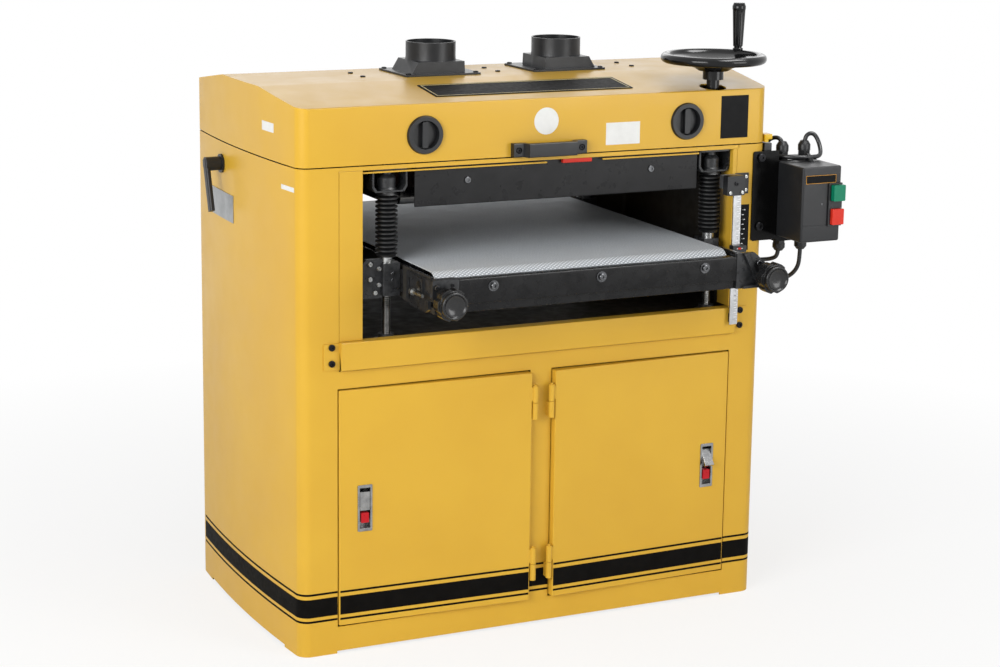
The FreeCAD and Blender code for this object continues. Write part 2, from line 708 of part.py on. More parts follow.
def table_bolts():
    """Front beam bolts on washers, cap screws of the corner brackets and the nut block bolts."""
    heads = []
    for x in (334, 564, 794):
        heads.append(rod("y", 10.5, beam_front - 2, beam_front, x, 741))
        heads.append(socket_screw(6.5, 5, "y", beam_front - 2, x, 741, -1))
    heads.append(socket_screw(5, 7, "y", beam_front - 0.5, 216.5, 746, -1))
    heads.append(socket_screw(3, 3, "y", beam_front - 0.5, 250, 748, -1))
    heads.append(fuse([socket_screw(6.5, 11, "y", -79, 198, 727, 1), rod("y", 3.5, -121, -78, 198, 727)]))
    heads.append(socket_screw(6, 6, "y", beam_front - 0.5, 917, 742, -1))
    for x, z in flange_bolts:
        heads.append(socket_screw(4.5, 4, "y", 19.5, x, z, -1))
    heads += [socket_screw(2.5, 1.5, "y", 8.5, 192, z, -1) for z in (733.5, 746.5)]
    return heads


flange_bolts = ((150.2, 765.0), (168.5, 755.3), (150.3, 735.7), (168.5, 724.2), (160.5, 709.0))


def table_brackets():
    """Nut blocks of the lifting screws, front corner brackets, roller slides and the scale pointer."""
    pieces = []
    middle = (screw_x[0] + screw_x[1]) / 2
    for y in screw_y:
        block = round_edges(box((174, 209), (y - 20, y + 20), (703, 766)), 1.5, "z")
        block = fuse([block, box((208, 216), (y - 16, y + 16), (708, 752)),
                      rod("z", 11.4, 765, 776.8, screw_x[0], y)])
        bore = rod("z", screw_radius + 0.08, 690, 790, screw_x[0], y)
        right = mirrored(block, middle)
        flange = [(132, 704), (140, 698), (176, 698), (176, 774), (144, 774), (132, 764)]
        lug = prism("y", flange, y - 9, y + 1) if y < 295 else prism("y", flange, y - 1, y + 9)
        pieces.append(fuse([block, lug]).cut(bore))
        pieces.append(right.cut(mirrored(bore, middle)))
    arm = prism("x", [(-122, 700), (-110, 693), (-40, 693), (-20, 700), (-20, 757), (-122, 757)], 209, 215.8)
    front = round_edges(box((209, 263.6), (beam_front, -122), (717.5, 759)), 3, "y")
    left = fuse([arm, front, rod("y", 12, beam_front - 2, -119.5, *knob_left)])
    left = left.cut(rod("y", 5 + running, -150, -105, *knob_left))
    left = left.cut(box((205, 220), (roller_y[0] - 15.3, roller_y[0] + 15.3),
                        (roller_z - 15.3, roller_z + 15.3)))
    left = left.cut(box((205, 220), (-38, -33), (704, 746)))
    pieces.append(left)
    outline = [(867.6, 693), (867.6, 764), (908, 764), (944, 733), (946, 702), (930, 696), (905, 693)]
    plate = prism("y", outline, beam_front, beam_front + 8)
    plate = round_edges(plate, 4, "y", lambda e: e.Vertexes[0].X > 900)
    cheek = prism("x", [(-135, 693), (-135, 764), (-60, 764), (-24, 745), (-24, 700)], 873.2, 880)
    cheek = cheek.cut(box((870, 885), (roller_y[0] - 15.3, roller_y[0] + 15.3),
                          (roller_z - 15.3, roller_z + 15.3)))
    floor = prism("z", [(873.2, -135), (935, -135), (880, -40), (873.2, -40)], 693, 699)
    gusset = prism("y", [(880, 764), (888, 764), (926, 699), (916, 699)], beam_front - 7, beam_front)
    gusset = fuse([gusset, box((880, 930), (beam_front - 7, beam_front), (693.5, 699))])
    boss = rod("y", 13, beam_front - 2, beam_front + 14, *knob_right)
    bracket = fuse([plate, cheek, floor, gusset, boss])
    pieces.append(bracket.cut(rod("y", 5 + running, -160, -120, *knob_right)))
    for x in ((205, 215.8), (873.2, 884)):
        slide = box(x, (roller_y[0] - 15, roller_y[0] + 15), (roller_z - 15, roller_z + 15))
        pieces.append(slide.cut(rod("x", 10 + running, x[0] - 1, x[1] + 1, roller_y[0], roller_z)))
    rear = box((205, 215.8), (roller_y[1] - 18, roller_y[1] + 18), (roller_z - 18, roller_z + 18))
    pieces.append(rear.cut(rod("x", 10 + running, 200, 220, roller_y[1], roller_z)))
    slider = round_edges(box((922, 953), (-39, -23), (743, 757)), 2, "y")
    slider = slider.cut(box((930, 945), (-40, -36), (748, 754)))
    hanger = fuse([box((880, 922), (-39, -33), (743, 750)), slider])
    pieces.append(hanger)
    return pieces


def tracking_knob(x, z, tip):
    """Cup-shaped knob: lobed grip, dished front face and a stem that ends at tip."""
    front = -197.0
    rim = round_rim(rod("y", 26, front, front + 14, x, z), 2.5)
    body = rod("y", 31, front + 11, front + 34, x, z)
    lobes = [rod("y", 8, front + 5, front + 40, x + 35.5 * math.cos(math.radians(a)),
                 z + 35.5 * math.sin(math.radians(a))) for a in range(30, 390, 60)]
    dish = Part.makeCone(22.5, 13, 12, V(x, front - 0.1, z), V(0, 1, 0))
    neck = Part.makeCone(20, 13, 12, V(x, front + 34, z), V(0, 1, 0))
    stem = rod("y", 5, front + 20, tip, x, z)
    return fuse([cut(body, lobes), rim]).cut(dish).fuse([neck, stem]).removeSplitter()


def feed_motor():
    """Gearbox and motor on the outer end of the rear belt roller."""
    y = roller_y[1]
    gearbox = round_edges(box((875, 940), (y - 34, y + 34), (roller_z - 36, roller_z + 36)), 8, "x")
    body = rod("x", 33, 940, 1056, y, roller_z)
    fins = [tube("x", 36, 33, x, x + 4, y, roller_z) for x in range(950, 1040, 14)]
    cap = Part.makeCone(33, 26, 14, V(1056, y, roller_z), V(1, 0, 0))
    motor = fuse([gearbox, body] + fins + [cap])
    return motor.cut(rod("x", 10 + running, 870, 905, y, roller_z))


# Head

def drum(y, lane):
    """Sanding drum with its end discs, the shaft through it and the pulley at the left end."""
    shell = tube("x", drum_radius, 54, belt_x[0], belt_x[1], y, drum_z)
    ends = [rod("x", 56, x, x + 10, y, drum_z) for x in (belt_x[0] + 6, belt_x[1] - 16)]
    shaft = rod("x", drum_shaft, 50, 906, y, drum_z)
    pulley = grooved_pulley(drum_pulley, (lane,), y, drum_z)
    return [fuse([shell] + ends).cut(shaft), shaft, pulley.cut(shaft)]


def drum_blocks():
    """Sliding bearing blocks that raise and lower the rear drum in the side plates' windows."""
    blocks = []
    for x in (head_plate_x[0], head_plate_x[1] - 10):
        block = box((x - 5, x + 15), (drum_y[1] - 34.6, drum_y[1] + 34.6), (drum_z - 34, drum_z + 34))
        lips = [box(span, (drum_y[1] - 40, drum_y[1] + 40), (drum_z - 30, drum_z + 30))
                for span in ((x - 5, x - 0.4), (x + 10.4, x + 15))]
        block = fuse([block] + lips)
        blocks.append(block.cut(rod("x", drum_shaft + running, x - 10, x + 20, drum_y[1], drum_z)))
    return blocks


def press_roller(y):
    core = rod("x", press_radius, belt_x[0], belt_x[1], y, press_z)
    return fuse([core, rod("x", 7.94, head_plate_x[0] - 4, head_plate_x[1] + 4, y, press_z)])


def side_lever():
    """Drum lever: arm, boss and flange outside the left wall, and the cam it turns behind the wall."""
    face = wall_x(lever_y, False)
    shaft = rod("x", 10.9, face - 8, 40, lever_y, lever_z)
    flange = rod("x", 19, face - 5, face - 1, lever_y, lever_z)
    boss = rod("x", 14, face - 36, face - 5, lever_y, lever_z)
    arm = box((face - 38, face - 28), (lever_y - 10, lever_y + 10), (lever_z - 96, lever_z + 10))
    arm = round_edges(arm, 4, "z")
    arm = turned(arm, V(0, lever_y, lever_z), V(1, 0, 0), -18)
    cam = rod("x", 20, 18, 30, lever_y + 6, lever_z)
    return fuse([shaft, flange, boss, arm, cam])


# Hood

def hood_profile(inset, drop):
    return [(inset, seam_z + seam_gap - drop), (inset, slope_front_z - inset * 0.9),
            (flat_start, flat_z - inset), (flat_end, flat_z - inset),
            (depth - inset, hood_rear_z - inset * 0.9),
            (depth - inset, seam_z + seam_gap - drop)]


def hood_shell():
    """Folded hood with the openings for ports, handwheel and latches, the inner baffle and knuckles."""
    outer = prism("x", hood_profile(0, 0), -60, width + 60)
    outer = round_edges(outer, fold_radius, "x", lambda e: e.Vertexes[0].Z > seam_z + 20)
    outer = outer.common(cabinet_outline(0, 900, 1200))
    inner = prism("x", hood_profile(hood_sheet, 20), -60, width + 60)
    inner = inner.common(cabinet_outline(hood_sheet, 890, 1200))
    cuts = [rod("z", 27.5, 1040, 1120, wheel_x, wheel_y)]
    cuts += [rod("z", 47.6, 1080, 1110, x, port_y) for x in port_x]
    cuts += [rod("y", 30.5, -10, 20, x, latch_z) for x in latch_x]
    shell = cut(outer.cut(inner), cuts)
    baffle = [(262, 1091.6), (262, 1020), (264.5, 1020), (264.5, 1088.9), (327.5, 1088.9), (327.5, 1020),
              (330, 1020), (330, 1091.6)]
    duct = prism("x", baffle, 225, 865)
    duct = cut(duct, [rod("z", 47.6, 1080, 1110, x, port_y) for x in port_x])
    arm = fuse([box((wheel_x - 32, wheel_x + 32), (1.5, 60), (1003, 1009)),
                rod("z", 24, 1003, 1028, wheel_x, wheel_y),
                box((wheel_x - 32, wheel_x - 26), (1.5, 58), (1003, 1045)),
                box((wheel_x + 26, wheel_x + 32), (1.5, 58), (1003, 1045))])
    arm = arm.cut(rod("z", 13 + running, 990, 1060, wheel_x, wheel_y))
    knuckles = []
    for x in (200, 816):
        for dx in (-50.5, 30.5):
            ear = tube("x", 6, 3 + running, x + dx, x + dx + 20, hood_pivot_y, seam_z - 2)
            strap = box((x + dx, x + dx + 20), (depth - 0.5, depth + 3), (seam_z + 5, seam_z + 36))
            neck = box((x + dx, x + dx + 20), (depth + 1, hood_pivot_y + 4), (seam_z + 2.5, seam_z + 9))
            knuckles += [fuse([ear, strap, neck])]
    return fuse([shell, duct, arm] + knuckles)


port_x = (395.5, 679.5)
port_y = 295.0
collar_top = 1158.0
collar_straight = 30.0
collar_radius = 50.8


def dust_port(x, side):
    """Dust port: flange, body with a sloped shoulder on one side, and a tapered collar."""
    flange = round_edges(box((x - 82.5, x + 82.5), (227, 371), (flat_z, flat_z + 4)), 4, "z")
    low, high = flat_z + 4, flat_z + 27
    body = prism("y", [(x - side * 64, low), (x + side * 52, low),
                       (x + side * 51, high), (x - side * 50, high)],
                 port_y - 55, port_y + 50)
    skirt_top = collar_top - collar_straight
    skirt = Part.makeCone(53, collar_radius, skirt_top - flat_z - 4, V(x, port_y, flat_z + 4), V(0, 0, 1))
    collar = rod("z", collar_radius, skirt_top, collar_top, x, port_y)
    bore = rod("z", 47.6, flat_z - 3, collar_top + 3, x, port_y)
    return fuse([flange, body, skirt, collar]).cut(bore)


def hood_screws():
    """Screws of the baffle and the two ports, and the handle's recessed screws."""
    heads = [Part.makeCone(5.5, 3.5, 2.6, V(x, y, flat_z), V(0, 0, 1))
             for x in (235, 532, 843) for y in (264, 330)]
    for x in port_x:
        for dx in (-74, 74):
            for y in (236, 362):
                heads.append(Part.makeCone(5.5, 3.5, 2.6, V(x + dx, y, flat_z + 4), V(0, 0, 1)))
    heads += [socket_screw(5, 4, "y", -9.5, x, 973.5, -1) for x in (447, 584)]
    return heads


def hood_handle():
    """Pull handle: a bar that stands out between two feet with screw wells."""
    shape = [(436, 0), (436, -14), (457, -14), (464, -28), (567, -28), (574, -14),
             (595, -14), (595, 0), (570, 0), (562, -15), (469, -15), (461, 0)]
    bar = round_edges(prism("z", shape, 960, 987), 2, "x")
    wells = [rod("y", 6.5, -20, -9.5, x, 973.5) for x in (447, 584)]
    return cut(bar, wells)


def nameplate():
    plate = box((297, 728), (0, 94), (0, 1.2))
    plate = round_edges(plate, 3, "z")
    lean = math.degrees(math.atan2(flat_z - slope_front_z, flat_start))
    plate.rotate(V(0, 0, 0), V(1, 0, 0), lean)
    start = 45.0
    plate.translate(V(0, start, slope_front_z + start * math.tan(math.radians(lean)) + 0.1))
    return plate


def latch_rings():
    """Recessed cups of the two rotary hood latches."""
    rings = []
    for x in latch_x:
        cup = rod("y", 30.3, -1, 16, x, latch_z).cut(rod("y", 27.5, -10, 13, x, latch_z))
        bezel = Part.makeCone(35.5, 37.5, 6, V(x, -6, latch_z), V(0, 1, 0))
        bezel = bezel.cut(rod("y", 27.5, -10, 5, x, latch_z))
        rings.append(fuse([cup, bezel]).cut(rod("y", 8.06, 5, 20, x, latch_z)))
    return rings


def latch_knob(x):
    """Rotary knob with a raised bar, its shaft and the cam behind it."""
    disc = rod("y", 27, 7, 12.5, x, latch_z)
    bar = round_edges(box((x - 6, x + 6), (-3, 8), (latch_z - 25, latch_z + 25)), 3, "y")
    shaft = rod("y", 8, 8, 24, x, latch_z)
    cam = box((x - 9, x + 9), (19, 24), (latch_z - 9, latch_z + 26))
    return fuse([disc, bar, shaft, round_edges(cam, 5, "y")])


def hood_striker():
    """Yellow striker that meets the hood switch."""
    arm = box((1016, 1033), (5, 31), (964, 975))
    foot = box((1016, 1024), (5, 31), (959.2, 964.5))
    return fuse([round_edges(arm, 2.5, "x"), foot]).cut(cabinet_outline(-0.1, 950, 980))


def handwheel():
    """Handwheel with dished web, stepped hub and the shaft that reaches down to the screw's dog."""
    rim = Part.makeTorus(wheel_radius - rim_radius, rim_radius, V(wheel_x, wheel_y, wheel_z))
    profile = [(0, 1118), (16, 1118), (22, 1113), (30, 1115), (70, 1120), (wheel_radius - 12, 1137),
               (wheel_radius - 10, 1129), (72, 1113), (33, 1108), (31, 1103), (21, 1102), (21, 1090),
               (13, 1089), (13, 978), (0, 978)]
    web = lathe(profile, wheel_x, wheel_y)
    collars = [rod("z", 16, z, z + 6, wheel_x, wheel_y) for z in (1028.5, 996.5)]
    socket = rod("z", 13, 957.5, 979, wheel_x, wheel_y)
    slot = box((wheel_x - 3.3, wheel_x + 3.3), (wheel_y - 20, wheel_y + 20), (957, 967.5))
    gx, gy = grip_spot()
    boss = rod("z", 12, 1122, 1146, gx, gy)
    wheel = fuse([rim, web] + collars + [socket, boss])
    return cut(wheel, [slot, rod("z", 5 + running, 1110, 1160, gx, gy)])


def grip_spot():
    angle = math.radians(grip_angle)
    return wheel_x + grip_offset * math.cos(angle), wheel_y + grip_offset * math.sin(angle)


def crank_grip():
    """Tapered, fluted grip that spins on its stud."""
    x, y = grip_spot()
    body = lathe([(0, 1149), (9.5, 1149), (10, 1151), (13, 1222),
                  (13.8, 1226), (13.8, 1231), (11, 1238), (0, 1238)],
                 x, y)
    flutes = []
    for k in range(10):
        angle = 2 * math.pi * k / 10
        groove = Part.makeCylinder(2.2, 71, V(x + 11.2 * math.cos(angle), y + 11.2 * math.sin(angle), 1152),
                                   V(2.8 * math.cos(angle), 2.8 * math.sin(angle), 70))
        flutes.append(groove)
    stud = fuse([rod("z", 5, 1124, 1150, x, y), rod("z", 8, 1146.3, 1150, x, y)])
    return fuse([cut(body, flutes), stud])


# Doors: drawn flat in the opening, then turned so that the hinge edge stands proud

def door_panel(span):
    left, right = span[0] + door_gap, span[1] - door_gap
    low, high = door_bottom + 3, door_top - 3
    pan = box((left, right), (-2.5, door_pan), (low, high))
    pan = round_edges(pan, 2, "z", lambda e: e.Vertexes[0].Y < 0)
    pan = round_edges(pan, 2, "x", lambda e: e.Vertexes[0].Y < 0)
    return pan.cut(box((left + 2, right - 2), (-0.5, door_pan + 1), (low + 2, high - 2)))


latch_half = (15.0, 46.5)
latch_centre_z = 290.5
paddle_pivot_z = 312.0
paddle_popped = 36.0


def latch_tray(x):
    """Recessed steel tray of the door latch with its fixed face flange and the lock body behind."""
    z = latch_centre_z
    flange = round_edges(box((x - 15, x + 15), (-4, -2.5), (z - 46.5, z + 46.5)), 2, "y")
    cup = box((x - 12.5, x + 12.5), (-2.6, 15), (z - 42, z + 42))
    cup = fuse([flange, cup]).cut(box((x - 11, x + 11), (-6, 13.5), (z - 40.5, z + 40.5)))
    return cup


def door(span, latch_x_centre):
    """Pan door with its latch tray."""
    hole = box((latch_x_centre - 12.6, latch_x_centre + 12.6), (-6, 3),
               (latch_centre_z - 42.1, latch_centre_z + 42.1))
    return [door_panel(span).cut(hole), latch_tray(latch_x_centre)]


def latch_paddle(x, popped):
    """Paddle that lies in the tray, or stands out of it on its pin when popped."""
    leaf = box((x - 10.4, x + 10.4), (-4, -0.5), (286, 323))
    leaf = round_edges(leaf, 1.2, "z", lambda e: e.Vertexes[0].Y < -3)
    lip = box((x - 10.4, x + 10.4), (-0.5, 3), (286, 289))
    pin = rod("x", 2, x - 10.6, x + 10.6, 1.5, paddle_pivot_z)
    lug = box((x - 8, x + 8), (-0.5, 3.2), (paddle_pivot_z - 3, paddle_pivot_z + 3))
    paddle = fuse([leaf, lip, pin, lug])
    return turned(paddle, V(x, 1.5, paddle_pivot_z), V(1, 0, 0), -popped)


def latch_button(x):
    return round_edges(box((x - 8, x + 8), (-4.5, 9), (261, 281)), 1.5, "y")


def set_in_door(shape, side):
    """Turns a piece of a door about the door's latch edge so that the hinge edge comes forward."""
    edge_x = left_door[0] + door_gap if side < 0 else right_door[1] - door_gap
    return turned(shape, V(edge_x, 0, 0), V(0, 0, 1), side * door_tilt)


def moving_hinges(x, side):
    """Moving barrels of one door's hinges with the straps that join them to the pan."""
    halves = []
    for z in hinge_heights:
        low, high = z + hinge_length / 2 + 0.5, z + hinge_length
        barrel = tube("z", 6, 3 + running, low, high, x, hinge_y)
        near, far = sorted((x + side * 5, x + side * 14))
        strap = box((near, far), (hinge_y - 1.5, hinge_y + 2.5), (low + 3, high - 3))
        halves.append(fuse([barrel, strap.cut(rod("z", 4.5, low, high, x, hinge_y))]))
    return halves


latch_left_x = 131.0
latch_right_x = 895.0


def build():
    export("cabinet_shell", cabinet_shell())
    export("inner_panels", inner_panels())
    export("front_rail", front_rail())
    export("head_frame", head_frame())
    export("bearing_blocks", bearing_blocks())
    export("guard_plates", guard_plates())
    export("cabinet_screws", screws_on_cabinet())
    export("hinge_posts", hinge_posts())
    export("chart_plate", chart_plate())
    export("depth_scale", depth_scale())
    export("control_base", control_base())
    export("control_cover", control_cover())
    export("start_button", switch_button(*start_z, 14))
    export("stop_button", switch_button(*stop_z, 11))
    export("electrical_fittings", electrical_fittings())
    for name, route in cord_routes.items():
        export(name, cord(route))
    export("drive_motor", drive_motor())
    export("motor_rotor", motor_rotor())
    export("drive_belts", drive_belts())
    export("lift_chain", lift_chain())
    for end, y in zip(("front", "rear"), screw_y):
        for side, x in zip(("left", "right"), screw_x):
            export("lead_screw_%s_%s" % (end, side), lead_screw(x, y, end == "front" and side == "right"))
    export("bellows", bellows())
    export("conveyor_belt", conveyor_belt())
    export("belt_roller_front", belt_roller(roller_y[0], False))
    export("belt_roller_rear", belt_roller(roller_y[1], True))
    export("table_frame", table_frame())
    export("table_bolts", table_bolts())
    export("table_brackets", table_brackets())
    export("tracking_knob_left", tracking_knob(*knob_left, -112))
    export("tracking_knob_right", tracking_knob(*knob_right, -125))
    export("feed_motor", feed_motor())
    export("drum_front", drum(drum_y[0], belt_lanes[0]))
    export("drum_rear", drum(drum_y[1], belt_lanes[1]))
    export("drum_blocks", drum_blocks())
    export("press_roller_front", press_roller(press_y[0]))
    export("press_roller_rear", press_roller(press_y[1]))
    export("side_lever", side_lever())
    export("hood_shell", hood_shell())
    export("dust_ports", [dust_port(port_x[0], 1), dust_port(port_x[1], -1)])
    export("hood_screws", hood_screws())
    export("hood_handle", hood_handle())
    export("nameplate", nameplate())
    export("latch_rings", latch_rings())
    export("latch_knob_left", latch_knob(latch_x[0]))
    export("latch_knob_right", latch_knob(latch_x[1]))
    export("hood_striker", hood_striker())
    export("handwheel", handwheel())
    export("crank_grip", crank_grip())
    sides = (("left", -1, left_door, latch_left_x, hinge_left_x, 0),
             ("right", 1, right_door, latch_right_x, hinge_right_x, paddle_popped))
    for name, side, span, latch, hinge, popped in sides:
        pieces = [set_in_door(piece, side) for piece in door(span, latch)]
        pieces[0] = fuse([pieces[0]] + moving_hinges(hinge, side))
        export("door_%s" % name, pieces)
        export("latch_paddle_%s" % name, set_in_door(latch_paddle(latch, popped), side))
        export("latch_button_%s" % name, set_in_door(latch_button(latch), side))
    print(len(written), "nodes")


build()
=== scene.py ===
import bpy
import bmesh
import json
import math
from functools import partial
from mathutils import Euler, Matrix, Vector

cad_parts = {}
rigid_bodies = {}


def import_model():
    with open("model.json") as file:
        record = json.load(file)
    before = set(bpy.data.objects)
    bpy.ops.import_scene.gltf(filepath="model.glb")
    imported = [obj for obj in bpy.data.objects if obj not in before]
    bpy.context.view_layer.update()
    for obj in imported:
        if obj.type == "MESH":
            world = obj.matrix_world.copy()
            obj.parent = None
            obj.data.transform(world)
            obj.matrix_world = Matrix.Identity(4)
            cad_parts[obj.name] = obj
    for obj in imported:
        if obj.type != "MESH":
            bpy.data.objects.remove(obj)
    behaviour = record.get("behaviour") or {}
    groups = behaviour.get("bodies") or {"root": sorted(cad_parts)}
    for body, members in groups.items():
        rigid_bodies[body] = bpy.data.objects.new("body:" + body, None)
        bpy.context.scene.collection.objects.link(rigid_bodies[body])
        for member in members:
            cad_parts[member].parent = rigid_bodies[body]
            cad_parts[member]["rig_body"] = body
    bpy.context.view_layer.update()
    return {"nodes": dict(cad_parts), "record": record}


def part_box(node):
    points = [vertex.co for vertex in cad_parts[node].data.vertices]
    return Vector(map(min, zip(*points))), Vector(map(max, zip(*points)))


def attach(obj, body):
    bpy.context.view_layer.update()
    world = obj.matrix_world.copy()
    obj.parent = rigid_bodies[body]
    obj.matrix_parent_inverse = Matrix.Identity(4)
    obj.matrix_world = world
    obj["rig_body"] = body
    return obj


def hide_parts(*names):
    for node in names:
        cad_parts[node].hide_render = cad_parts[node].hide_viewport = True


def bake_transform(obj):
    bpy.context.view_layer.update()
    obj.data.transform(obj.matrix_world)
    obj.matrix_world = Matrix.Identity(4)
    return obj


# Drum thickness machine in ochre enamel: the looks built round its CAD nodes.
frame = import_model()
nodes = frame["nodes"]
bodyOf = {name: obj["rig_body"] for name, obj in nodes.items()}
slotOf = {part["node"]: part["material_slot"] for part in frame["record"]["subparts"]}
scene = bpy.context.scene
print("loaded", len(nodes), "CAD nodes")

# sizes in millimetres from the front left foot corner, as on the shop drawing
footprint = {"middleX": 545.25, "middleY": 268.0, "width": 1016.0, "depth": 590.0, "bow": 14.5}


def at(x, y, z):
    return Vector(((x - footprint["middleX"]) / 1000, (y - footprint["middleY"]) / 1000, z / 1000))


def sideX(y, right):
    # outer face of a bowed side wall at a depth
    share = y / footprint["depth"]
    bulge = 4 * footprint["bow"] * share * (1 - share)
    return footprint["width"] + bulge if right else -bulge


cameraView = {"at": (-1490.55, -3964.77, 1617.88), "yaw": 0.44836, "pitch": 0.20322, "roll": 0.0135,
              "lens": 82.792, "shiftY": -0.05}


def makeCamera(view):
    yaw, pitch, roll = view["yaw"], view["pitch"], view["roll"]
    ahead = Vector((math.sin(yaw) * math.cos(pitch), math.cos(yaw) * math.cos(pitch), -math.sin(pitch)))
    level = Vector((math.cos(yaw), -math.sin(yaw), 0))
    upright = level.cross(ahead)
    right = math.cos(roll) * level + math.sin(roll) * upright
    up = math.cos(roll) * upright - math.sin(roll) * level
    data = bpy.data.cameras.new("camera")
    data.sensor_width = 36
    data.lens = view["lens"]
    data.shift_y = view["shiftY"]
    data.clip_end = 50
    camera = bpy.data.objects.new("camera", data)
    turn = Matrix((right, up, -ahead)).transposed()
    camera.matrix_world = Matrix.Translation(at(*view["at"])) @ turn.to_4x4()
    scene.collection.objects.link(camera)
    scene.camera = camera


makeCamera(cameraView)
print("camera set")

# finishes


def srgb(code):
    parts = [int(code[i:i + 2], 16) / 255 for i in (1, 3, 5)]
    return tuple(c / 12.92 if c <= 0.04045 else ((c + 0.055) / 1.055) ** 2.4 for c in parts) + (1,)


def addNode(tree, kind, links=None, give=0, **settings):
    # links gives each input, by name or number, a socket or a plain value; give picks the output to hand
    # back, and None hands back the node itself
    node = tree.nodes.new(kind)
    for name, value in settings.items():
        setattr(node, name, value)
    for key, value in (links or {}).items():
        if isinstance(value, bpy.types.NodeSocket):
            tree.links.new(value, node.inputs[key])
        else:
            node.inputs[key].default_value = value
    return node if give is None else node.outputs[give]


def startFinish(name, colour, roughness, metallic=0.0, ior=1.5, shine=0.5, coat=0.0):
    finish = bpy.data.materials.new(name)
    finish.use_nodes = True
    tree = finish.node_tree
    shader = tree.nodes["Principled BSDF"]
    values = {"Base Color": srgb(colour), "Roughness": roughness, "Metallic": metallic,
              "Specular IOR Level": shine, "Coat Weight": coat, "Coat Roughness": 0.12}
    if not metallic:
        values["IOR"] = ior
    for socket, value in values.items():
        shader.inputs[socket].default_value = value
    return finish, tree, shader, addNode(tree, "ShaderNodeTexCoord", None, "Object")


def vary(tree, coords, sizeMm, low, high, detail=3.0, squeeze=(1, 1, 1), spread=0.2):
    # soft noise with features of a size in millimetres, spread from low to high
    stretched = addNode(tree, "ShaderNodeMapping", {"Vector": coords, "Scale": squeeze})
    noise = addNode(tree, "ShaderNodeTexNoise", {
        "Vector": stretched, "Scale": 1000 / sizeMm, "Detail": detail, "Roughness": 0.55})
    return addNode(tree, "ShaderNodeMapRange", {
        "Value": noise, "From Min": 0.5 - spread, "From Max": 0.5 + spread, "To Min": low, "To Max": high})


def layUp(tree, shader, tones, patches, gloss, relief, depthMm):
    # what every finish has: two tones in patches, an uneven gloss and a shallow relief
    mix = addNode(tree, "ShaderNodeMix", {0: patches, 6: tones[0], 7: tones[1]}, 2, data_type="RGBA")
    bump = addNode(tree, "ShaderNodeBump", {"Height": relief, "Distance": depthMm / 1000})
    for socket, name in ((mix, "Base Color"), (gloss, "Roughness"), (bump, "Normal")):
        tree.links.new(socket, shader.inputs[name])


# How each kind of surface is made and what that gives the eye. Each noise is a size in millimetres and a
# detail; the gloss also has how far it wanders below and above the roughness. The grain makes the relief.
makings = {
    # baked enamel sprayed on sheet steel: satin, with a slight orange peel that breaks up the reflections
    "bakedEnamel": {"gloss": (60, 3, -0.03, 0.05), "patches": (260, 3), "grain": (3.2, 1)},
    # black enamel on plate: low sheen, mottled where oil and dust have dried on it
    "plateEnamel": {"gloss": (22, 5, -0.1, 0.12), "patches": (38, 6), "grain": (1.1, 2)},
    # ABS or nylon from a spark-eroded mould, or extruded PVC: fine, even and slightly dull
    "plastic": {"gloss": (15, 3, -0.05, 0.06), "patches": (70, 3), "grain": (0.9, 1), "ior": 1.53},
    # painted iron casting: sand-cast skin under thin black paint, thinner on the high spots
    "castIron": {"gloss": (12, 4, -0.12, 0.15), "patches": (9, 6), "grain": (2.6, 4), "spread": 0.4},
    # gloss black stove enamel over turned iron or sheet: deep reflections with a long, faint waviness
    "glossEnamel": {"gloss": (14, 5, -0.04, 0.08), "patches": (45, 5), "grain": (22, 1)},
    # moulded neoprene: dull, with a greyish bloom in patches
    "neoprene": {"gloss": (8, 4, -0.08, 0.12), "patches": (16, 5), "grain": (1.4, 2), "ior": 1.52},
    # printed vinyl or anodised foil: flat colour, soft sheen, very faint dimples from the paint below
    "film": {"gloss": (9, 3, -0.05, 0.08), "patches": (30, 4), "grain": (3.2, 1)},
    # turned, ground or plated steel: fine lines along its run, which are both its gloss and its relief
    "steel": {"gloss": (3, 2, -0.08, 0.1), "patches": (18, 5), "metallic": 1.0},
}


def makeFinish(name, making, colour, second, roughness, depth=0.01, shine=0.5, metallic=None, coat=0.0,
               grainMm=None, patchMm=None, run=(1, 1, 1)):
    # run stretches the lines of a steel; a size that is given here stands in for the one of the making
    how = makings[making]
    metallic = how.get("metallic", 0.0) if metallic is None else metallic
    ior = how.get("ior", 1.5)
    finish, tree, shader, coords = startFinish(name, colour, roughness, metallic, ior, shine, coat)
    sizeMm, detail, under, over = how["gloss"]
    if "grain" in how:
        gloss = vary(tree, coords, sizeMm, roughness + under, roughness + over, detail)
        relief = vary(tree, coords, grainMm or how["grain"][0], 0, 1, how["grain"][1],
                      spread=how.get("spread", 0.5))
    else:
        gloss = relief = vary(tree, coords, grainMm or sizeMm, roughness + under, roughness + over, detail,
                              run)
    patches = vary(tree, coords, patchMm or how["patches"][0], 0, 1, how["patches"][1])
    layUp(tree, shader, (srgb(colour), srgb(second)), patches, gloss, relief, depth)
    return finish


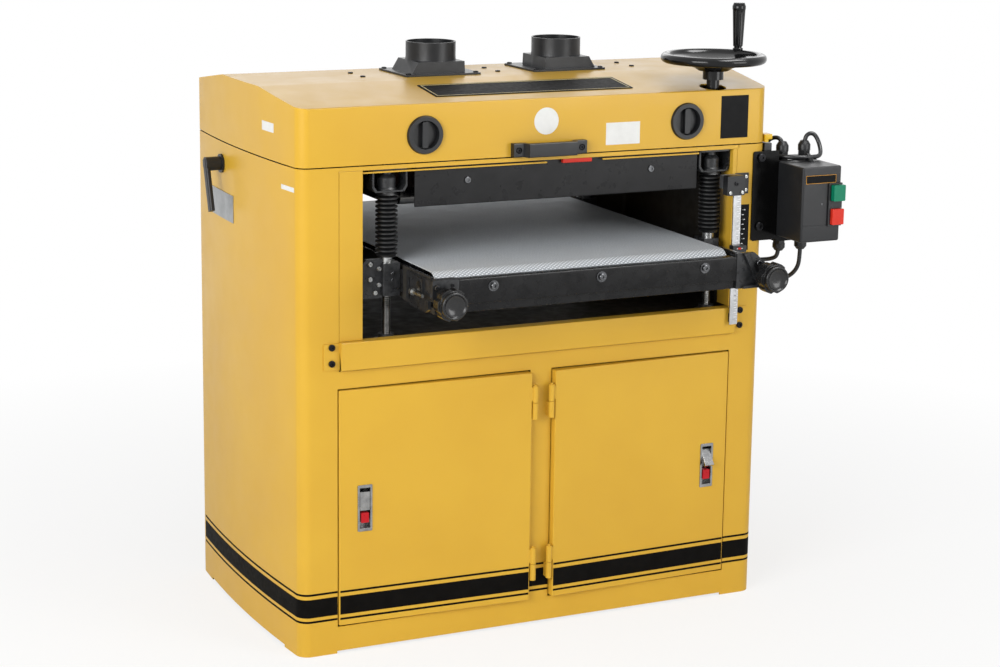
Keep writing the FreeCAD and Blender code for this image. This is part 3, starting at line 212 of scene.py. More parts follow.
# by making and slot: the name, the two tones, the roughness and what differs from the usual
looks = {
    "bakedEnamel": {
        "ochre_enamel": ("ochreBakedEnamel", "#CFA434", "#C99D31", 0.32, {"shine": 0.27, "depth": 0.012}),
        "yellow_enamel": ("yellowEnamel", "#DDB420", "#D3A81E", 0.32, {"shine": 0.3}),
    },
    "plateEnamel": {
        "black_steel": ("blackStoveEnamel", "#101011", "#1B1B1C", 0.32, {"shine": 0.22, "depth": 0.015}),
        "beam_enamel": ("beamBlackEnamel", "#0A0A0B", "#151516", 0.26, {"shine": 0.2, "depth": 0.015}),
        # the frame's left end face, coloured a lighter grey-brown than the black beam
        "side_plate": ("wornPlateEnamel", "#2E2C28", "#3A3732", 0.36,
                       {"shine": 0.4, "depth": 0.02, "patchMm": 30}),
        "machine_grey": ("charcoalEnamel", "#141415", "#1D1E1F", 0.3,
                         {"shine": 0.3, "depth": 0.02, "patchMm": 60, "grainMm": 1.2}),
        # painted shade: the ochre sheet deep inside the cabinet, drawn dark brown as if it lay in shade
        "painted_shade_inside": ("darkPrimerInside", "#1D1810", "#2A2317", 0.55,
                       {"shine": 0.2, "depth": 0.03, "patchMm": 90, "grainMm": 1.6}),
    },
    "glossEnamel": {
        "gloss_black": ("glossBlackEnamel", "#0A0A0B", "#101112", 0.13, {"shine": 0.3, "depth": 0.04}),
        "gloss_sheet": ("glossBlackSheet", "#060606", "#0A0A0B", 0.16,
                        {"shine": 0.12, "depth": 0.03, "grainMm": 40}),
        "knob_dish": ("turnedKnobFace", "#0E0E0F", "#161617", 0.2,
                      {"shine": 0.45, "depth": 0.02, "coat": 0.1, "grainMm": 12}),
    },
    "castIron": {
        "cast_steel": ("paintedIronCasting", "#131415", "#2B2C2E", 0.34, {"shine": 0.4, "depth": 0.12}),
    },
    "neoprene": {
        "black_rubber": ("mouldedNeoprene", "#0B0B0C", "#151617", 0.42, {"shine": 0.4, "depth": 0.03}),
    },
    "plastic": {
        "moulded_black": ("mouldedBlackNylon", "#141517", "#1D1E20", 0.36, {"shine": 0.32, "depth": 0.02}),
        "cover_plastic": ("mouldedCoverPlastic", "#1B1C1E", "#222325", 0.38, {"shine": 0.3, "depth": 0.02}),
        "knob_plastic": ("mouldedKnobPlastic", "#131314", "#1A1B1C", 0.26, {"shine": 0.34, "grainMm": 2.0}),
        "pvc_cord": ("extrudedPvcCord", "#141517", "#1D1E20", 0.34, {"shine": 0.4, "grainMm": 2.5}),
        "green_plastic": ("greenSwitchPlastic", "#0A7D60", "#087556", 0.32, {"shine": 0.2}),
        "red_plastic": ("redSwitchPlastic", "#D23423", "#C82D1E", 0.32, {"shine": 0.2}),
        "latch_red": ("redLatchPlastic", "#B5141E", "#A8121B", 0.32, {"shine": 0.2}),
    },
    "steel": {
        "bright_steel": ("turnedSteel", "#7F7E7C", "#4E4D4B", 0.28, {"depth": 0.02, "run": (1, 1, 8)}),
        "zinc_screws": ("zincPlatedSteel", "#C0C2C3", "#9A9A95", 0.3, {"depth": 0.015, "grainMm": 4.0}),
        "phosphate": ("phosphatedSteel", "#6A6B6D", "#3F4042", 0.28, {"depth": 0.015}),
        "dark_screws": ("blackOxideSteel", "#2C2C2E", "#1B1B1C", 0.36, {"depth": 0.02}),
        "scale_steel": ("satinRuleSteel", "#B3B4B6", "#9C9D9E", 0.4,
                        {"depth": 0.005, "grainMm": 2.0, "run": (8, 1, 1)}),
        "latch_steel": ("polishedChrome", "#A9A9A9", "#868788", 0.2,
                        {"depth": 0.005, "grainMm": 5.0, "run": (1, 1, 6)}),
    },
    "film": {
        "blank_label": ("anodisedFoil", "#A9ABAC", "#999B9C", 0.4, {"metallic": 0.85}),
        "cream_film": ("creamVinyl", "#D9C88E", "#CFBE84", 0.45, {"shine": 0.3}),
        "ochre_film": ("ochreVinyl", "#C28A2E", "#B88028", 0.45, {"shine": 0.3}),
        "white_film": ("whiteVinyl", "#DDDDDA", "#D2D2CF", 0.45, {"shine": 0.3}),
        "black_film": ("blackVinyl", "#080809", "#0E0E0F", 0.34, {"shine": 0.08}),
        "plate_film": ("dullBlackPlate", "#0B0A09", "#11100F", 0.5, {"shine": 0.03}),
    },
}

# a wave texture of scale 1 has its ridges 314 mm apart
# painted shade: the valleys of the grip pattern are coloured much darker than its ridges
conveyorLook = {
    "ridge": "#E6EAEE", "valley": "#989EA4", "soiled": "#B4B7B9", "pitchMm": 5.2, "waveMm": 314, "depth": 0.2,
    "slant": 35, "wobble": 0.6, "pressed": (0.05, 0.5), "soilMm": 90, "mostSoil": 0.4, "roughness": 0.62,
    "glossMm": 30, "gloss": (0.55, 0.7), "shine": 0.1,
}


def conveyorRubber(name, look):
    # rubberised cloth pressed with a diamond grip pattern, a 3 mm pitch drawn coarser so that it shows
    finish, tree, shader, _ = startFinish(name, look["ridge"], look["roughness"], shine=look["shine"])
    coords = addNode(tree, "ShaderNodeUVMap", uv_map="UVMap")
    waves = []
    for slant in (look["slant"], -look["slant"]):
        turn = (0, 0, math.radians(slant))
        mapped = addNode(tree, "ShaderNodeMapping", {"Vector": coords, "Rotation": turn})
        waves.append(addNode(tree, "ShaderNodeTexWave", {
            "Vector": mapped, "Scale": look["waveMm"] / look["pitchMm"], "Distortion": look["wobble"],
            "Detail": 1.0, "Detail Scale": 3.0}, 1))
    both = addNode(tree, "ShaderNodeMath", {0: waves[0], 1: waves[1]}, operation="MULTIPLY")
    low, high = look["pressed"]
    weave = addNode(tree, "ShaderNodeMapRange", {"Value": both, "From Min": low, "From Max": high})
    # painted shade in the pattern: dark valleys, pale ridges
    cloth = addNode(tree, "ShaderNodeMix", {
        0: weave, 6: srgb(look["valley"]), 7: srgb(look["ridge"])}, 2, data_type="RGBA")
    patches = vary(tree, coords, look["soilMm"], 0, look["mostSoil"], 5.0)
    gloss = vary(tree, coords, look["glossMm"], *look["gloss"])
    layUp(tree, shader, (cloth, srgb(look["soiled"])), patches, gloss, weave, look["depth"])
    return finish


gritLook = {
    "cloth": "#2A1C16", "grit": "#3A281F", "seam": "#15100D", "roughness": 0.85, "wander": 0.05, "shine": 0.2,
    "grainMm": 0.9, "glossMm": 20, "leadMm": 78, "seamShare": 0.02, "axleHeight": 0.9335, "depth": 0.25,
}


def abrasiveWrap(name, look):
    # aluminium oxide cloth wound on the drum in a spiral, the joint between turns showing as a dark line
    finish, tree, shader, coords = startFinish(name, look["cloth"], look["roughness"], shine=look["shine"])
    grit = vary(tree, coords, look["grainMm"], 0, 1, 2.0)
    x, y, z = addNode(tree, "ShaderNodeSeparateXYZ", {0: coords}, give=None).outputs
    tall = addNode(tree, "ShaderNodeMath", {0: z, 1: -look["axleHeight"]}, operation="ADD")
    angle = addNode(tree, "ShaderNodeMath", {0: y, 1: tall}, operation="ARCTAN2")
    turns = addNode(tree, "ShaderNodeMath", {0: angle, 1: 1 / math.tau}, operation="MULTIPLY")
    along = addNode(tree, "ShaderNodeMath", {
        0: x, 1: 1000 / look["leadMm"], 2: turns}, operation="MULTIPLY_ADD")
    share = addNode(tree, "ShaderNodeMath", {0: along}, operation="FRACT")
    seam = addNode(tree, "ShaderNodeMath", {0: share, 1: look["seamShare"]}, operation="LESS_THAN")
    cloth = addNode(tree, "ShaderNodeMix", {
        0: grit, 6: srgb(look["cloth"]), 7: srgb(look["grit"])}, 2, data_type="RGBA")
    gloss = vary(tree, coords, look["glossMm"], look["roughness"] - look["wander"],
                 look["roughness"] + look["wander"])
    layUp(tree, shader, (cloth, srgb(look["seam"])), seam, gloss, grit, look["depth"])
    return finish


finishes = {}
for making, rows in looks.items():
    for slot, (name, colour, second, roughness, others) in rows.items():
        finishes[slot] = makeFinish(name, making, colour, second, roughness, **others)
finishes["abrasive_belt"] = conveyorRubber("diamondGripConveyor", conveyorLook)
finishes["sanding_cloth"] = abrasiveWrap("spiralAbrasiveCloth", gritLook)
print("finishes mixed:", len(finishes))

# control cables, by the same corner points as the shop drawing
cables = {
    "radius": 4.5,
    "stiffness": "medium",
    "lengths": {"cord_top_left": 0.1644, "cord_top_right": 0.2656, "cord_low_left": 0.1040,
                "cord_low_right": 0.2116},
    "routes": {
        "cord_top_left": [
            (1074, 30, 936), (1074, 30, 954), (1068, 40, 963), (1058, 55, 958), (1051, 69, 936),
            (1046, 84, 912), (1044, 97, 893), (1034, 102, 892), (1024, 99, 903), (1012, 96, 908)],
        "cord_top_right": [
            (1126, 28, 936), (1126, 28, 958), (1134, 25, 970), (1146, 19, 968), (1152, 8, 945),
            (1142, -11, 926.5), (1117, -17, 926.5), (1091, -16, 926.5), (1068, 1, 926.5),
            (1053, 26, 926.5), (1040, 52, 926.5), (1010, 48, 926.5)],
        "cord_low_left": [
            (1074, 30, 744), (1074, 30, 716), (1067, 43, 706), (1050, 58, 703), (1012, 58, 703)],
        "cord_low_right": [
            (1126, 28, 742), (1126, 28, 712), (1126, 34, 684), (1116, 52, 662), (1094, 74, 652),
            (1068, 90, 660), (1048, 98, 675), (1012, 98, 675)],
    },
}


def makeCable(name, route):
    curve = bpy.data.curves.new(name + "Flex", "CURVE")
    curve.dimensions = "3D"
    curve.bevel_depth = cables["radius"] / 1000
    curve.bevel_resolution = 5
    curve.resolution_u = 12
    curve.use_fill_caps = True
    line = curve.splines.new("NURBS")
    line.points.add(len(route) - 1)
    for point, stop in zip(line.points, route):
        point.co = (*at(*stop), 1)
    line.order_u = 3
    line.use_endpoint_u = True
    curve.materials.append(finishes["pvc_cord"])
    flex = bpy.data.objects.new(name + "Flex", curve)
    scene.collection.objects.link(flex)
    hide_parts(name)
    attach(flex, "cabinet")


for name, route in cables["routes"].items():
    makeCable(name, route)
print("cables laid:", len(cables["routes"]))

# making and settling pieces


def makePiece(name, mesh, instead=(), smooth=32.0):
    # a plain mesh at its real place becomes a piece, in place of the CAD nodes that are named
    piece = bpy.data.objects.new(name, mesh)
    scene.collection.objects.link(piece)
    mesh.polygons.foreach_set("use_smooth", [True] * len(mesh.polygons))
    mesh.set_sharp_from_angle(angle=math.radians(smooth))
    if instead:
        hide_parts(*instead)
    return piece


def settle(name, mesh, body, instead=(), smooth=32.0):
    # a piece that moves with its body
    piece = makePiece(name, mesh, instead, smooth)
    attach(piece, body)
    return piece


def cleanShell(mesh, weld=0.000004, flatten=0.4):
    # welds loose triangles and joins those that lie in one plane
    shape = bmesh.new()
    shape.from_mesh(mesh)
    bmesh.ops.remove_doubles(shape, verts=shape.verts, dist=weld)
    bmesh.ops.dissolve_limit(shape, angle_limit=math.radians(flatten), use_dissolve_boundaries=False,
                             verts=shape.verts, edges=shape.edges, delimit=set())
    fresh = bpy.data.meshes.new(mesh.name)
    shape.to_mesh(fresh)
    shape.free()
    if "custom_normal" in fresh.attributes:
        fresh.attributes.remove(fresh.attributes["custom_normal"])
    fresh.materials.clear()
    return fresh


def paintWithin(mesh, index, low, high):
    # gives the faces inside a box another finish
    lowest, highest = at(*low), at(*high)
    for face in mesh.polygons:
        if all(lowest[k] <= face.center[k] <= highest[k] for k in range(3)):
            face.material_index = index


# painted shade: how far back the inside sheet of each node is drawn dark, with margins from its skin and
# corners
insideShade = {"behind": {"cabinet_shell": 62, "inner_panels": 45}, "skin": 1.2, "corner": 9}


def shadeBehind(mesh, y):
    # sheet faces inside the outline and behind this depth get a painted shade, dark brown; they are cut off
    # there first
    mesh.materials.append(finishes["painted_shade_inside"])
    shape = bmesh.new()
    shape.from_mesh(mesh)
    everything = shape.verts[:] + shape.edges[:] + shape.faces[:]
    bmesh.ops.bisect_plane(shape, geom=everything, plane_co=at(0, y, 0), plane_no=(0, 1, 0))
    for face in shape.faces:
        middle = face.calc_center_median()
        x, back = middle.x * 1000 + footprint["middleX"], middle.y * 1000 + footprint["middleY"]
        fromSide, fromRear = min(x - sideX(back, False), sideX(back, True) - x), footprint["depth"] - back
        if back > y and min(fromSide, fromRear) > insideShade["skin"] and fromSide + fromRear > insideShade["corner"]:
            face.material_index = len(mesh.materials) - 1
    shape.to_mesh(mesh)
    shape.free()


finishFor = {
    "nameplate": "plate_film",
    "handwheel": "gloss_black",
    "crank_grip": "gloss_black",
    "table_frame": "beam_enamel",
    "latch_button_left": "latch_red",
    "latch_button_right": "latch_red",
    "control_base": "gloss_sheet",
    "control_cover": "cover_plastic",
    "tracking_knob_left": "knob_plastic",
    "tracking_knob_right": "knob_plastic",
}
easedEdges = {
    "cabinet_shell": 0.6, "hood_shell": 0.5, "front_rail": 0.6, "door_left": 0.5, "door_right": 0.5,
    "guard_plates": 0.7, "head_frame": 0.4, "table_frame": 1.1, "table_brackets": 0.6, "bearing_blocks": 0.5,
    "dust_ports": 1.0, "hood_handle": 0.8, "control_base": 0.5, "control_cover": 0.6, "start_button": 0.5,
    "stop_button": 0.5, "electrical_fittings": 0.3, "depth_scale": 0.3, "hood_striker": 0.3,
    "latch_rings": 0.4, "latch_knob_left": 0.5, "latch_knob_right": 0.5, "tracking_knob_left": 1.0,
    "tracking_knob_right": 1.0, "side_lever": 0.8, "hinge_posts": 0.4, "inner_panels": 0.4, "nameplate": 0.2,
    "latch_paddle_left": 0.2, "latch_paddle_right": 0.2, "latch_button_left": 0.3, "latch_button_right": 0.3,
    "crank_grip": 0.4,
}
# the faces in a box, from its low to its high corner, that have another finish than the rest of the node
otherFinishes = {
    "door_left": [("latch_steel", (115, -40, 243), (147, 30, 338))],
    "door_right": [("latch_steel", (879, -40, 243), (911, 30, 338))],
    # the left end face of the frame in grey-brown
    "table_frame": [("side_plate", (215.5, -140, 690), (216.5, 735, 765))],
    "guard_plates": [("red_plastic", (551, 3, 940), (617, 12.5, 950))],
    "depth_scale": [("moulded_black", (900, -41, 860.5), (946, -18.9, 902)),
                    ("moulded_black", (943, -4, 856), (976, 1, 901)),
                    ("moulded_black", (930, -19.5, 590), (943, -11, 613))],
    "table_brackets": [("zinc_screws", (176, 15, 766.2), (200, 45, 778)),
                       ("zinc_screws", (890, 15, 766.2), (914, 45, 778))],
}


def finishOf(name):
    return finishes[finishFor.get(name, slotOf[name])]


def roundedPiece(name, width):
    # the CAD shape with its sharp edges eased
    mesh = cleanShell(nodes[name].data)
    mesh.materials.append(finishOf(name))
    # the sheet deep inside is drawn in painted shade
    if name in insideShade["behind"]:
        shadeBehind(mesh, insideShade["behind"][name])
    for finish, low, high in otherFinishes.get(name, ()):
        mesh.materials.append(finishes[finish])
        paintWithin(mesh, len(mesh.materials) - 1, low, high)
    piece = settle(name + "Finished", mesh, bodyOf[name], (name,))
    ease = piece.modifiers.new("easedEdges", "BEVEL")
    ease.width = width / 1000
    ease.segments = 2
    ease.limit_method = "ANGLE"
    ease.angle_limit = math.radians(40)
    ease.harden_normals = True


for name, width in easedEdges.items():
    roundedPiece(name, width)
for name, obj in nodes.items():
    obj.data.materials.clear()
    obj.data.materials.append(finishOf(name))
print("edges eased on", len(easedEdges), "pieces")

# Geometry Nodes trees take their lengths in millimetres


def newTree(name, sizes):
    # one named input for each size, of the kind of its usual value; hands back the tree, a function
    # that adds a node to it, and its inputs
    tree = bpy.data.node_groups.new(name, "GeometryNodeTree")
    addSocket = tree.interface.new_socket
    addSocket(name="Shape", in_out="INPUT", socket_type="NodeSocketGeometry")
    for label, value in sizes.items():
        kind = {float: "Float", int: "Int", tuple: "Vector"}[type(value)]
        item = addSocket(name=label, in_out="INPUT", socket_type="NodeSocket" + kind)
        item.default_value = value / 1000 if kind == "Float" else value
    addSocket(name="Finish", in_out="INPUT", socket_type="NodeSocketMaterial")
    addSocket(name="Result", in_out="OUTPUT", socket_type="NodeSocketGeometry")
    return tree, partial(addNode, tree), addNode(tree, "NodeGroupInput", give=None).outputs


def closeTree(tree, given, shape):
    real = addNode(tree, "GeometryNodeRealizeInstances", {0: shape})
    coated = addNode(tree, "GeometryNodeSetMaterial", {0: real, "Material": given["Finish"]})
    addNode(tree, "NodeGroupOutput", {0: coated}, give=None)
    return tree


def runTree(tree, start, finish, sizes):
    # start is a mesh or a curve that the tree builds on; the result is a plain mesh
    holder = bpy.data.objects.new("holder", start)
    scene.collection.objects.link(holder)
    modifier = holder.modifiers.new("build", "NODES")
    modifier.node_group = tree
    values = {**sizes, "Finish": finishes[finish]}
    for item in tree.interface.items_tree:
        if item.in_out == "INPUT" and item.name in values:
            value = values[item.name]
            modifier[item.identifier] = value / 1000 if item.socket_type == "NodeSocketFloat" else value
    built = holder.evaluated_get(bpy.context.evaluated_depsgraph_get())
    mesh = bpy.data.meshes.new_from_object(built)
    bpy.data.objects.remove(holder)
    return mesh


def pointMesh(places=()):
    mesh = bpy.data.meshes.new("places")
    mesh.from_pydata([at(*place) for place in places], [], [])
    return mesh


def outward(mesh):
    shape = bmesh.new()
    shape.from_mesh(mesh)
    bmesh.ops.recalc_face_normals(shape, faces=shape.faces)
    shape.to_mesh(mesh)
    shape.free()
    return mesh


def joined(name, meshes):
    whole = bmesh.new()
    for mesh in meshes:
        whole.from_mesh(mesh)
    result = bpy.data.meshes.new(name)
    whole.to_mesh(result)
    whole.free()
    result.materials.append(meshes[0].materials[0])
    return result


def plainBox(name, low, high, finish):
    mesh = bpy.data.meshes.new(name)
    shape = bmesh.new()
    bmesh.ops.create_cube(shape, size=1.0)
    a, b = at(*low), at(*high)
    shape.transform(Matrix.Translation((a + b) / 2) @ Matrix.Diagonal((b - a).to_4d()))
    shape.to_mesh(mesh)
    shape.free()
    mesh.materials.append(finishes[finish])
    return mesh


toFront, toTop, toRear = (math.pi / 2, 0, 0), (0, 0, 0), (-math.pi / 2, 0, 0)


def turnedMesh(name, profile, place, finish, facing=toTop, sides=40):
    # a closed profile of (radius, height) in millimetres turned about a line through a place
    mesh = bpy.data.meshes.new(name)
    shape = bmesh.new()
    angles = [math.tau * k / sides for k in range(sides)]
    rings = []
    for radius, height in profile:
        spots = [(radius * math.cos(a) / 1000, radius * math.sin(a) / 1000, height / 1000) for a in angles]
        rings.append([shape.verts.new(spot) for spot in (spots if radius else [(0, 0, height / 1000)])])
    for lower, upper in zip(rings, rings[1:]):
        for k in range(sides):
            after = (k + 1) % sides
            corners = [lower[k % len(lower)], lower[after % len(lower)], upper[after % len(upper)],
                       upper[k % len(upper)]]
            shape.faces.new(list(dict.fromkeys(corners)))
    bmesh.ops.remove_doubles(shape, verts=shape.verts, dist=0.000001)
    bmesh.ops.recalc_face_normals(shape, faces=shape.faces)
    shape.transform(Matrix.Translation(place) @ Euler(facing).to_matrix().to_4x4())
    shape.to_mesh(mesh)
    shape.free()
    mesh.materials.append(finishes[finish])
    return mesh


# by body and set: the finish, the radius and height of the head, the places and what differs from the usual
screwSets = {
    "cabinet": {
        "railScrews": ("dark_screws", 6.5, 4, [(x, -3, z) for x in (63, 964) for z in (583, 614.5)],
                       {"instead": ("cabinet_screws",)}),
        "guardScrews": ("phosphate", 6.5, 3, [(351, 14, 917.5), (755, 14, 917.5)], {}),
        "boxScrews": ("dark_screws", 8.5, 5, [(1003, -3, 787), (1003, -3, 929)], {}),
        "ruleScrews": ("zinc_screws", 3.4, 2.5,
                       [(968, -3, 865), (968, -3, 892), (909.5, -40, 867), (937.5, -40, 867)], {}),
        "clampScrew": ("dark_screws", 4, 2.5, [(923.5, -40, 885)], {}),
        "coverScrew": ("phosphate", 2, 1, [(1094, -95, 841.5)], {}),
    },
    "hood": {
        "hoodScrews": ("dark_screws", 5.2, 2.6, [(x, y, 1094) for x in (235, 532, 843) for y in (264, 330)],
                       {"facing": toTop, "instead": ("hood_screws",)}),
        "portScrews": ("dark_screws", 5.2, 2.6,
                       [(x + dx, y, 1098) for x in (395.5, 679.5) for dx in (-74, 74) for y in (236, 362)],
                       {"facing": toTop}),
        "handleScrews": ("dark_screws", 5, 4, [(447, -9.5, 973.5), (584, -9.5, 973.5)], {}),
    },
    "table": {
        "beamBolts": ("phosphate", 6.5, 5, [(x, -145, 741) for x in (334, 564, 794)],
                      {"instead": ("table_bolts",)}),
        "bracketBolts": ("phosphate", 5, 7, [(216.5, -143.5, 746)], {}),
        "cornerScrews": ("dark_screws", 3, 3, [(250, -143.5, 748)], {}),
        "sideBolts": ("phosphate", 6, 6, [(917, -143.5, 742)], {}),
        "flangeBolts": ("zinc_screws", 4.5, 4,
                        [(150.2, 19.5, 765), (168.5, 19.5, 755.3), (150.3, 19.5, 735.7),
                         (168.5, 19.5, 724.2), (160.5, 19.5, 709)], {}),
        "nutPins": ("phosphate", 2.5, 1.5, [(192, 8.5, z) for z in (733.5, 746.5)], {}),
        "tensionScrew": ("zinc_screws", 6.5, 11, [(198, -79, 727)], {"shank": 43, "facing": toRear}),
    },
}
# shares of the head's radius and height; the turn is the most that one is turned, in radians
screwShares = {"socket": 0.52, "shank": 0.55, "chamfer": 0.88, "chamferFrom": 0.45, "turn": 1.05}


def screwTree():
    # a round head with chamfer, a six-sided socket and a shank that starts 0.2 mm inside the head, set on
    # every point at a random turn
    tree, add, given = newTree("screws", {
        "Head radius": 6.0, "Head height": 5.0, "Socket radius": 3.0, "Shank radius": 3.0,
        "Shank length": 2.0, "Facing": (0, 0, 0), "Seed": 7})
    head = add("GeometryNodeMeshCylinder", {
        "Vertices": 28, "Side Segments": 6, "Radius": given["Head radius"], "Depth": given["Head height"]})
    spot = add("GeometryNodeInputPosition")
    tall = add("ShaderNodeSeparateXYZ", {0: spot}, 2)
    edge, narrow = screwShares["chamferFrom"], (screwShares["chamfer"], screwShares["chamfer"], 1)
    nearTop = add("ShaderNodeMath", {0: given["Head height"], 1: edge}, operation="MULTIPLY")
    topmost = add("ShaderNodeMath", {0: tall, 1: nearTop}, operation="GREATER_THAN")
    drawn = add("ShaderNodeVectorMath", {0: spot, 1: narrow}, operation="MULTIPLY")
    chamfered = add("GeometryNodeSetPosition", {0: head, "Selection": topmost, "Position": drawn})
    halfHead = add("ShaderNodeMath", {0: given["Head height"], 1: 0.5}, operation="MULTIPLY")
    lift = add("ShaderNodeCombineXYZ", {2: halfHead})
    key = add("GeometryNodeMeshCylinder", {
        "Vertices": 6, "Radius": given["Socket radius"], "Depth": given["Head height"]})
    keyUp = add("GeometryNodeTransform", {0: key, "Translation": lift})
    drilled = add("GeometryNodeMeshBoolean", {0: chamfered, 1: keyUp}, operation="DIFFERENCE")
    headUp = add("GeometryNodeTransform", {0: drilled, "Translation": lift})
    shank = add("GeometryNodeMeshCylinder", {
        "Vertices": 16, "Radius": given["Shank radius"], "Depth": given["Shank length"]})
    sunkBy = add("ShaderNodeMath", {0: given["Shank length"], 1: -0.5, 2: 0.0002}, operation="MULTIPLY_ADD")
    sunk = add("ShaderNodeCombineXYZ", {2: sunkBy})
    shankDown = add("GeometryNodeTransform", {0: shank, "Translation": sunk})
    screw = add("GeometryNodeJoinGeometry", {0: headUp}, give=None)
    tree.links.new(shankDown, screw.inputs[0])
    placed = add("GeometryNodeInstanceOnPoints", {
        "Points": given["Shape"], "Instance": screw.outputs[0], "Rotation": given["Facing"]})
    turn = add("FunctionNodeRandomValue", {2: 0.0, 3: screwShares["turn"], "Seed": given["Seed"]}, 1,
               data_type="FLOAT")
    about = add("ShaderNodeCombineXYZ", {2: turn})
    spun = add("GeometryNodeRotateInstances", {"Instances": placed, "Rotation": about})
    return closeTree(tree, given, spun)


def makeScrews():
    tree = screwTree()
    for body, sets in screwSets.items():
        for name, (finish, radius, height, places, others) in sets.items():
            mesh = runTree(tree, pointMesh(places), finish, {
                "Head radius": radius, "Head height": height,
                "Socket radius": radius * screwShares["socket"],
                "Shank radius": radius * screwShares["shank"], "Shank length": others.get("shank", 1.5),
                "Facing": others.get("facing", toFront)})
            settle(name, mesh, body, others.get("instead", ()))
        print("screws driven on the", body, sum(len(screws[3]) for screws in sets.values()))


makeScrews()

washers = {"at": [(x, -144, 741) for x in (334, 564, 794)],
           "sizes": {"Radius": 10.5, "Thickness": 2.0, "Facing": toFront}}


def discTree():
    # plain round discs on every point
    tree, add, given = newTree("discs", {"Radius": 10.0, "Thickness": 2.0, "Facing": (0, 0, 0)})
    disc = add("GeometryNodeMeshCylinder", {
        "Vertices": 36, "Radius": given["Radius"], "Depth": given["Thickness"]})
    placed = add("GeometryNodeInstanceOnPoints", {
        "Points": given["Shape"], "Instance": disc, "Rotation": given["Facing"]})
    return closeTree(tree, given, placed)


discs = discTree()
settle("beamWashers", runTree(discs, pointMesh(washers["at"]), "phosphate", washers["sizes"]), "table")

# the rim is drawn 28 mm smaller across than the CAD wheel, nearer the real one; the grip's place is the same
wheel = {
    "x": 902, "y": 29, "rimRadius": 97.5, "rimAxis": 1133, "rimThick": 9.5, "rimStart": 198, "rimStep": 18,
    "rimSteps": 18, "gripX": 988.6, "gripY": 79,
    "below": [(0, 967.5), (8, 967.5), (8, 957.5), (13, 957.5), (13, 996.5), (16, 996.5), (16, 1002.5),
              (13, 1002.5), (13, 1028.5), (16, 1028.5), (16, 1034.5), (13, 1034.5), (13, 1089), (21, 1090),
              (21, 1107), (31, 1108), (33, 1109.5), (40, 1114), (60, 1119.5), (80, 1125)],
    "above": [(82, 1133), (60, 1126.5), (30, 1121.5), (22, 1119), (16, 1118), (15, 1120), (0, 1120)],
    "boss": [(5.2, 1124), (10.5, 1124), (10.5, 1145), (9.5, 1146), (5.2, 1146), (5.2, 1124)],
}


def makeWheel():
    # dished wheel with a round rim, a stepped hub and its shaft, all turned about one axis
    radius, axis, thick, rim = wheel["rimRadius"], wheel["rimAxis"], wheel["rimThick"], []
    for step in range(wheel["rimSteps"] + 1):
        angle = math.radians(wheel["rimStart"] + step * wheel["rimStep"])
        rim.append((radius + thick * math.cos(angle), axis + thick * math.sin(angle)))
    profile = wheel["below"] + rim + wheel["above"]
    dished = turnedMesh("wheel", profile, at(wheel["x"], wheel["y"], 0), "gloss_black", sides=96)
    boss = turnedMesh("boss", wheel["boss"], at(wheel["gripX"], wheel["gripY"], 0), "gloss_black")
    mesh = joined("handwheelTurned", [dished, boss])
    settle("handwheelTurned", mesh, "handwheel_body", ("handwheel",), smooth=40)


makeWheel()
print("handwheel turned")

leadScrews = {
    "from": 628.0, "sizes": {"Radius": 9.0, "Ridge": 1.15, "Pitch": 4.0, "Length": 274.0},
    "foot": [(0, 562), (7.5, 562), (7.5, 566), (11, 566), (11, 577), (15.2, 577), (15.2, 587), (7.5, 587),
             (7.5, 626)],
    "coreFromTo": (627, 902.6),
    "head": [(7.5, 903), (7.5, 950.6), (11, 950.6), (11, 956), (0, 956)],
    "driven": "lead_screw_front_right", "dogHalf": (2.5, 7), "dogFromTo": (955.5, 966),
    "at": {"lead_screw_front_left": (188, 29), "lead_screw_front_right": (902, 29),
           "lead_screw_rear_left": (188, 561), "lead_screw_rear_right": (902, 561)},
}


def threadTree():
    # one ridge wound up the screw: a small four-sided bar swept along a spiral
    tree, add, given = newTree("thread", leadScrews["sizes"])
    turns = add("ShaderNodeMath", {0: given["Length"], 1: given["Pitch"]}, operation="DIVIDE")
    middle = add("ShaderNodeMath", {0: given["Radius"], 1: given["Ridge"]}, operation="SUBTRACT")
    spiral = add("GeometryNodeCurveSpiral", {
        "Resolution": 24, "Rotations": turns, "Start Radius": middle, "End Radius": middle,
        "Height": given["Length"]})
    level = add("GeometryNodeSetCurveNormal", {0: spiral}, mode="Z_UP")
    bar = add("GeometryNodeCurvePrimitiveCircle", {"Resolution": 4, "Radius": given["Ridge"]})
    ridge = add("GeometryNodeCurveToMesh", {0: level, 1: bar, "Fill Caps": True})
    return closeTree(tree, given, ridge)


def makeLeadScrews():
    tree, finish = threadTree(), "bright_steel"
    core = leadScrews["sizes"]["Radius"] - 1.5 * leadScrews["sizes"]["Ridge"]
    bar = leadScrews["foot"] + [(core, z) for z in leadScrews["coreFromTo"]] + leadScrews["head"]
    for name, (x, y) in leadScrews["at"].items():
        ridge = runTree(tree, pointMesh(), finish, leadScrews["sizes"])
        ridge.transform(Matrix.Translation(at(x, y, leadScrews["from"])))
        pieces = [turnedMesh(name, bar, at(x, y, 0), finish), ridge]
        if name == leadScrews["driven"]:
            (dx, dy), (low, high) = leadScrews["dogHalf"], leadScrews["dogFromTo"]
            pieces.append(plainBox("dog", (x - dx, y - dy, low), (x + dx, y + dy, high), finish))
        settle(name + "Threaded", joined(name, pieces), bodyOf[name], (name,))
    print("threads cut on", len(leadScrews["at"]), "screws")


makeLeadScrews()

dish = {"depth": 6.5, "front": -196.6,
        "profile": [(0, 0.0), (9, 0.0), (12, 0.5), (17, 2.2), (21, 4.7), (22.3, 6.0), (21.9, 5.4), (16, -1),
                    (0, -1)]}


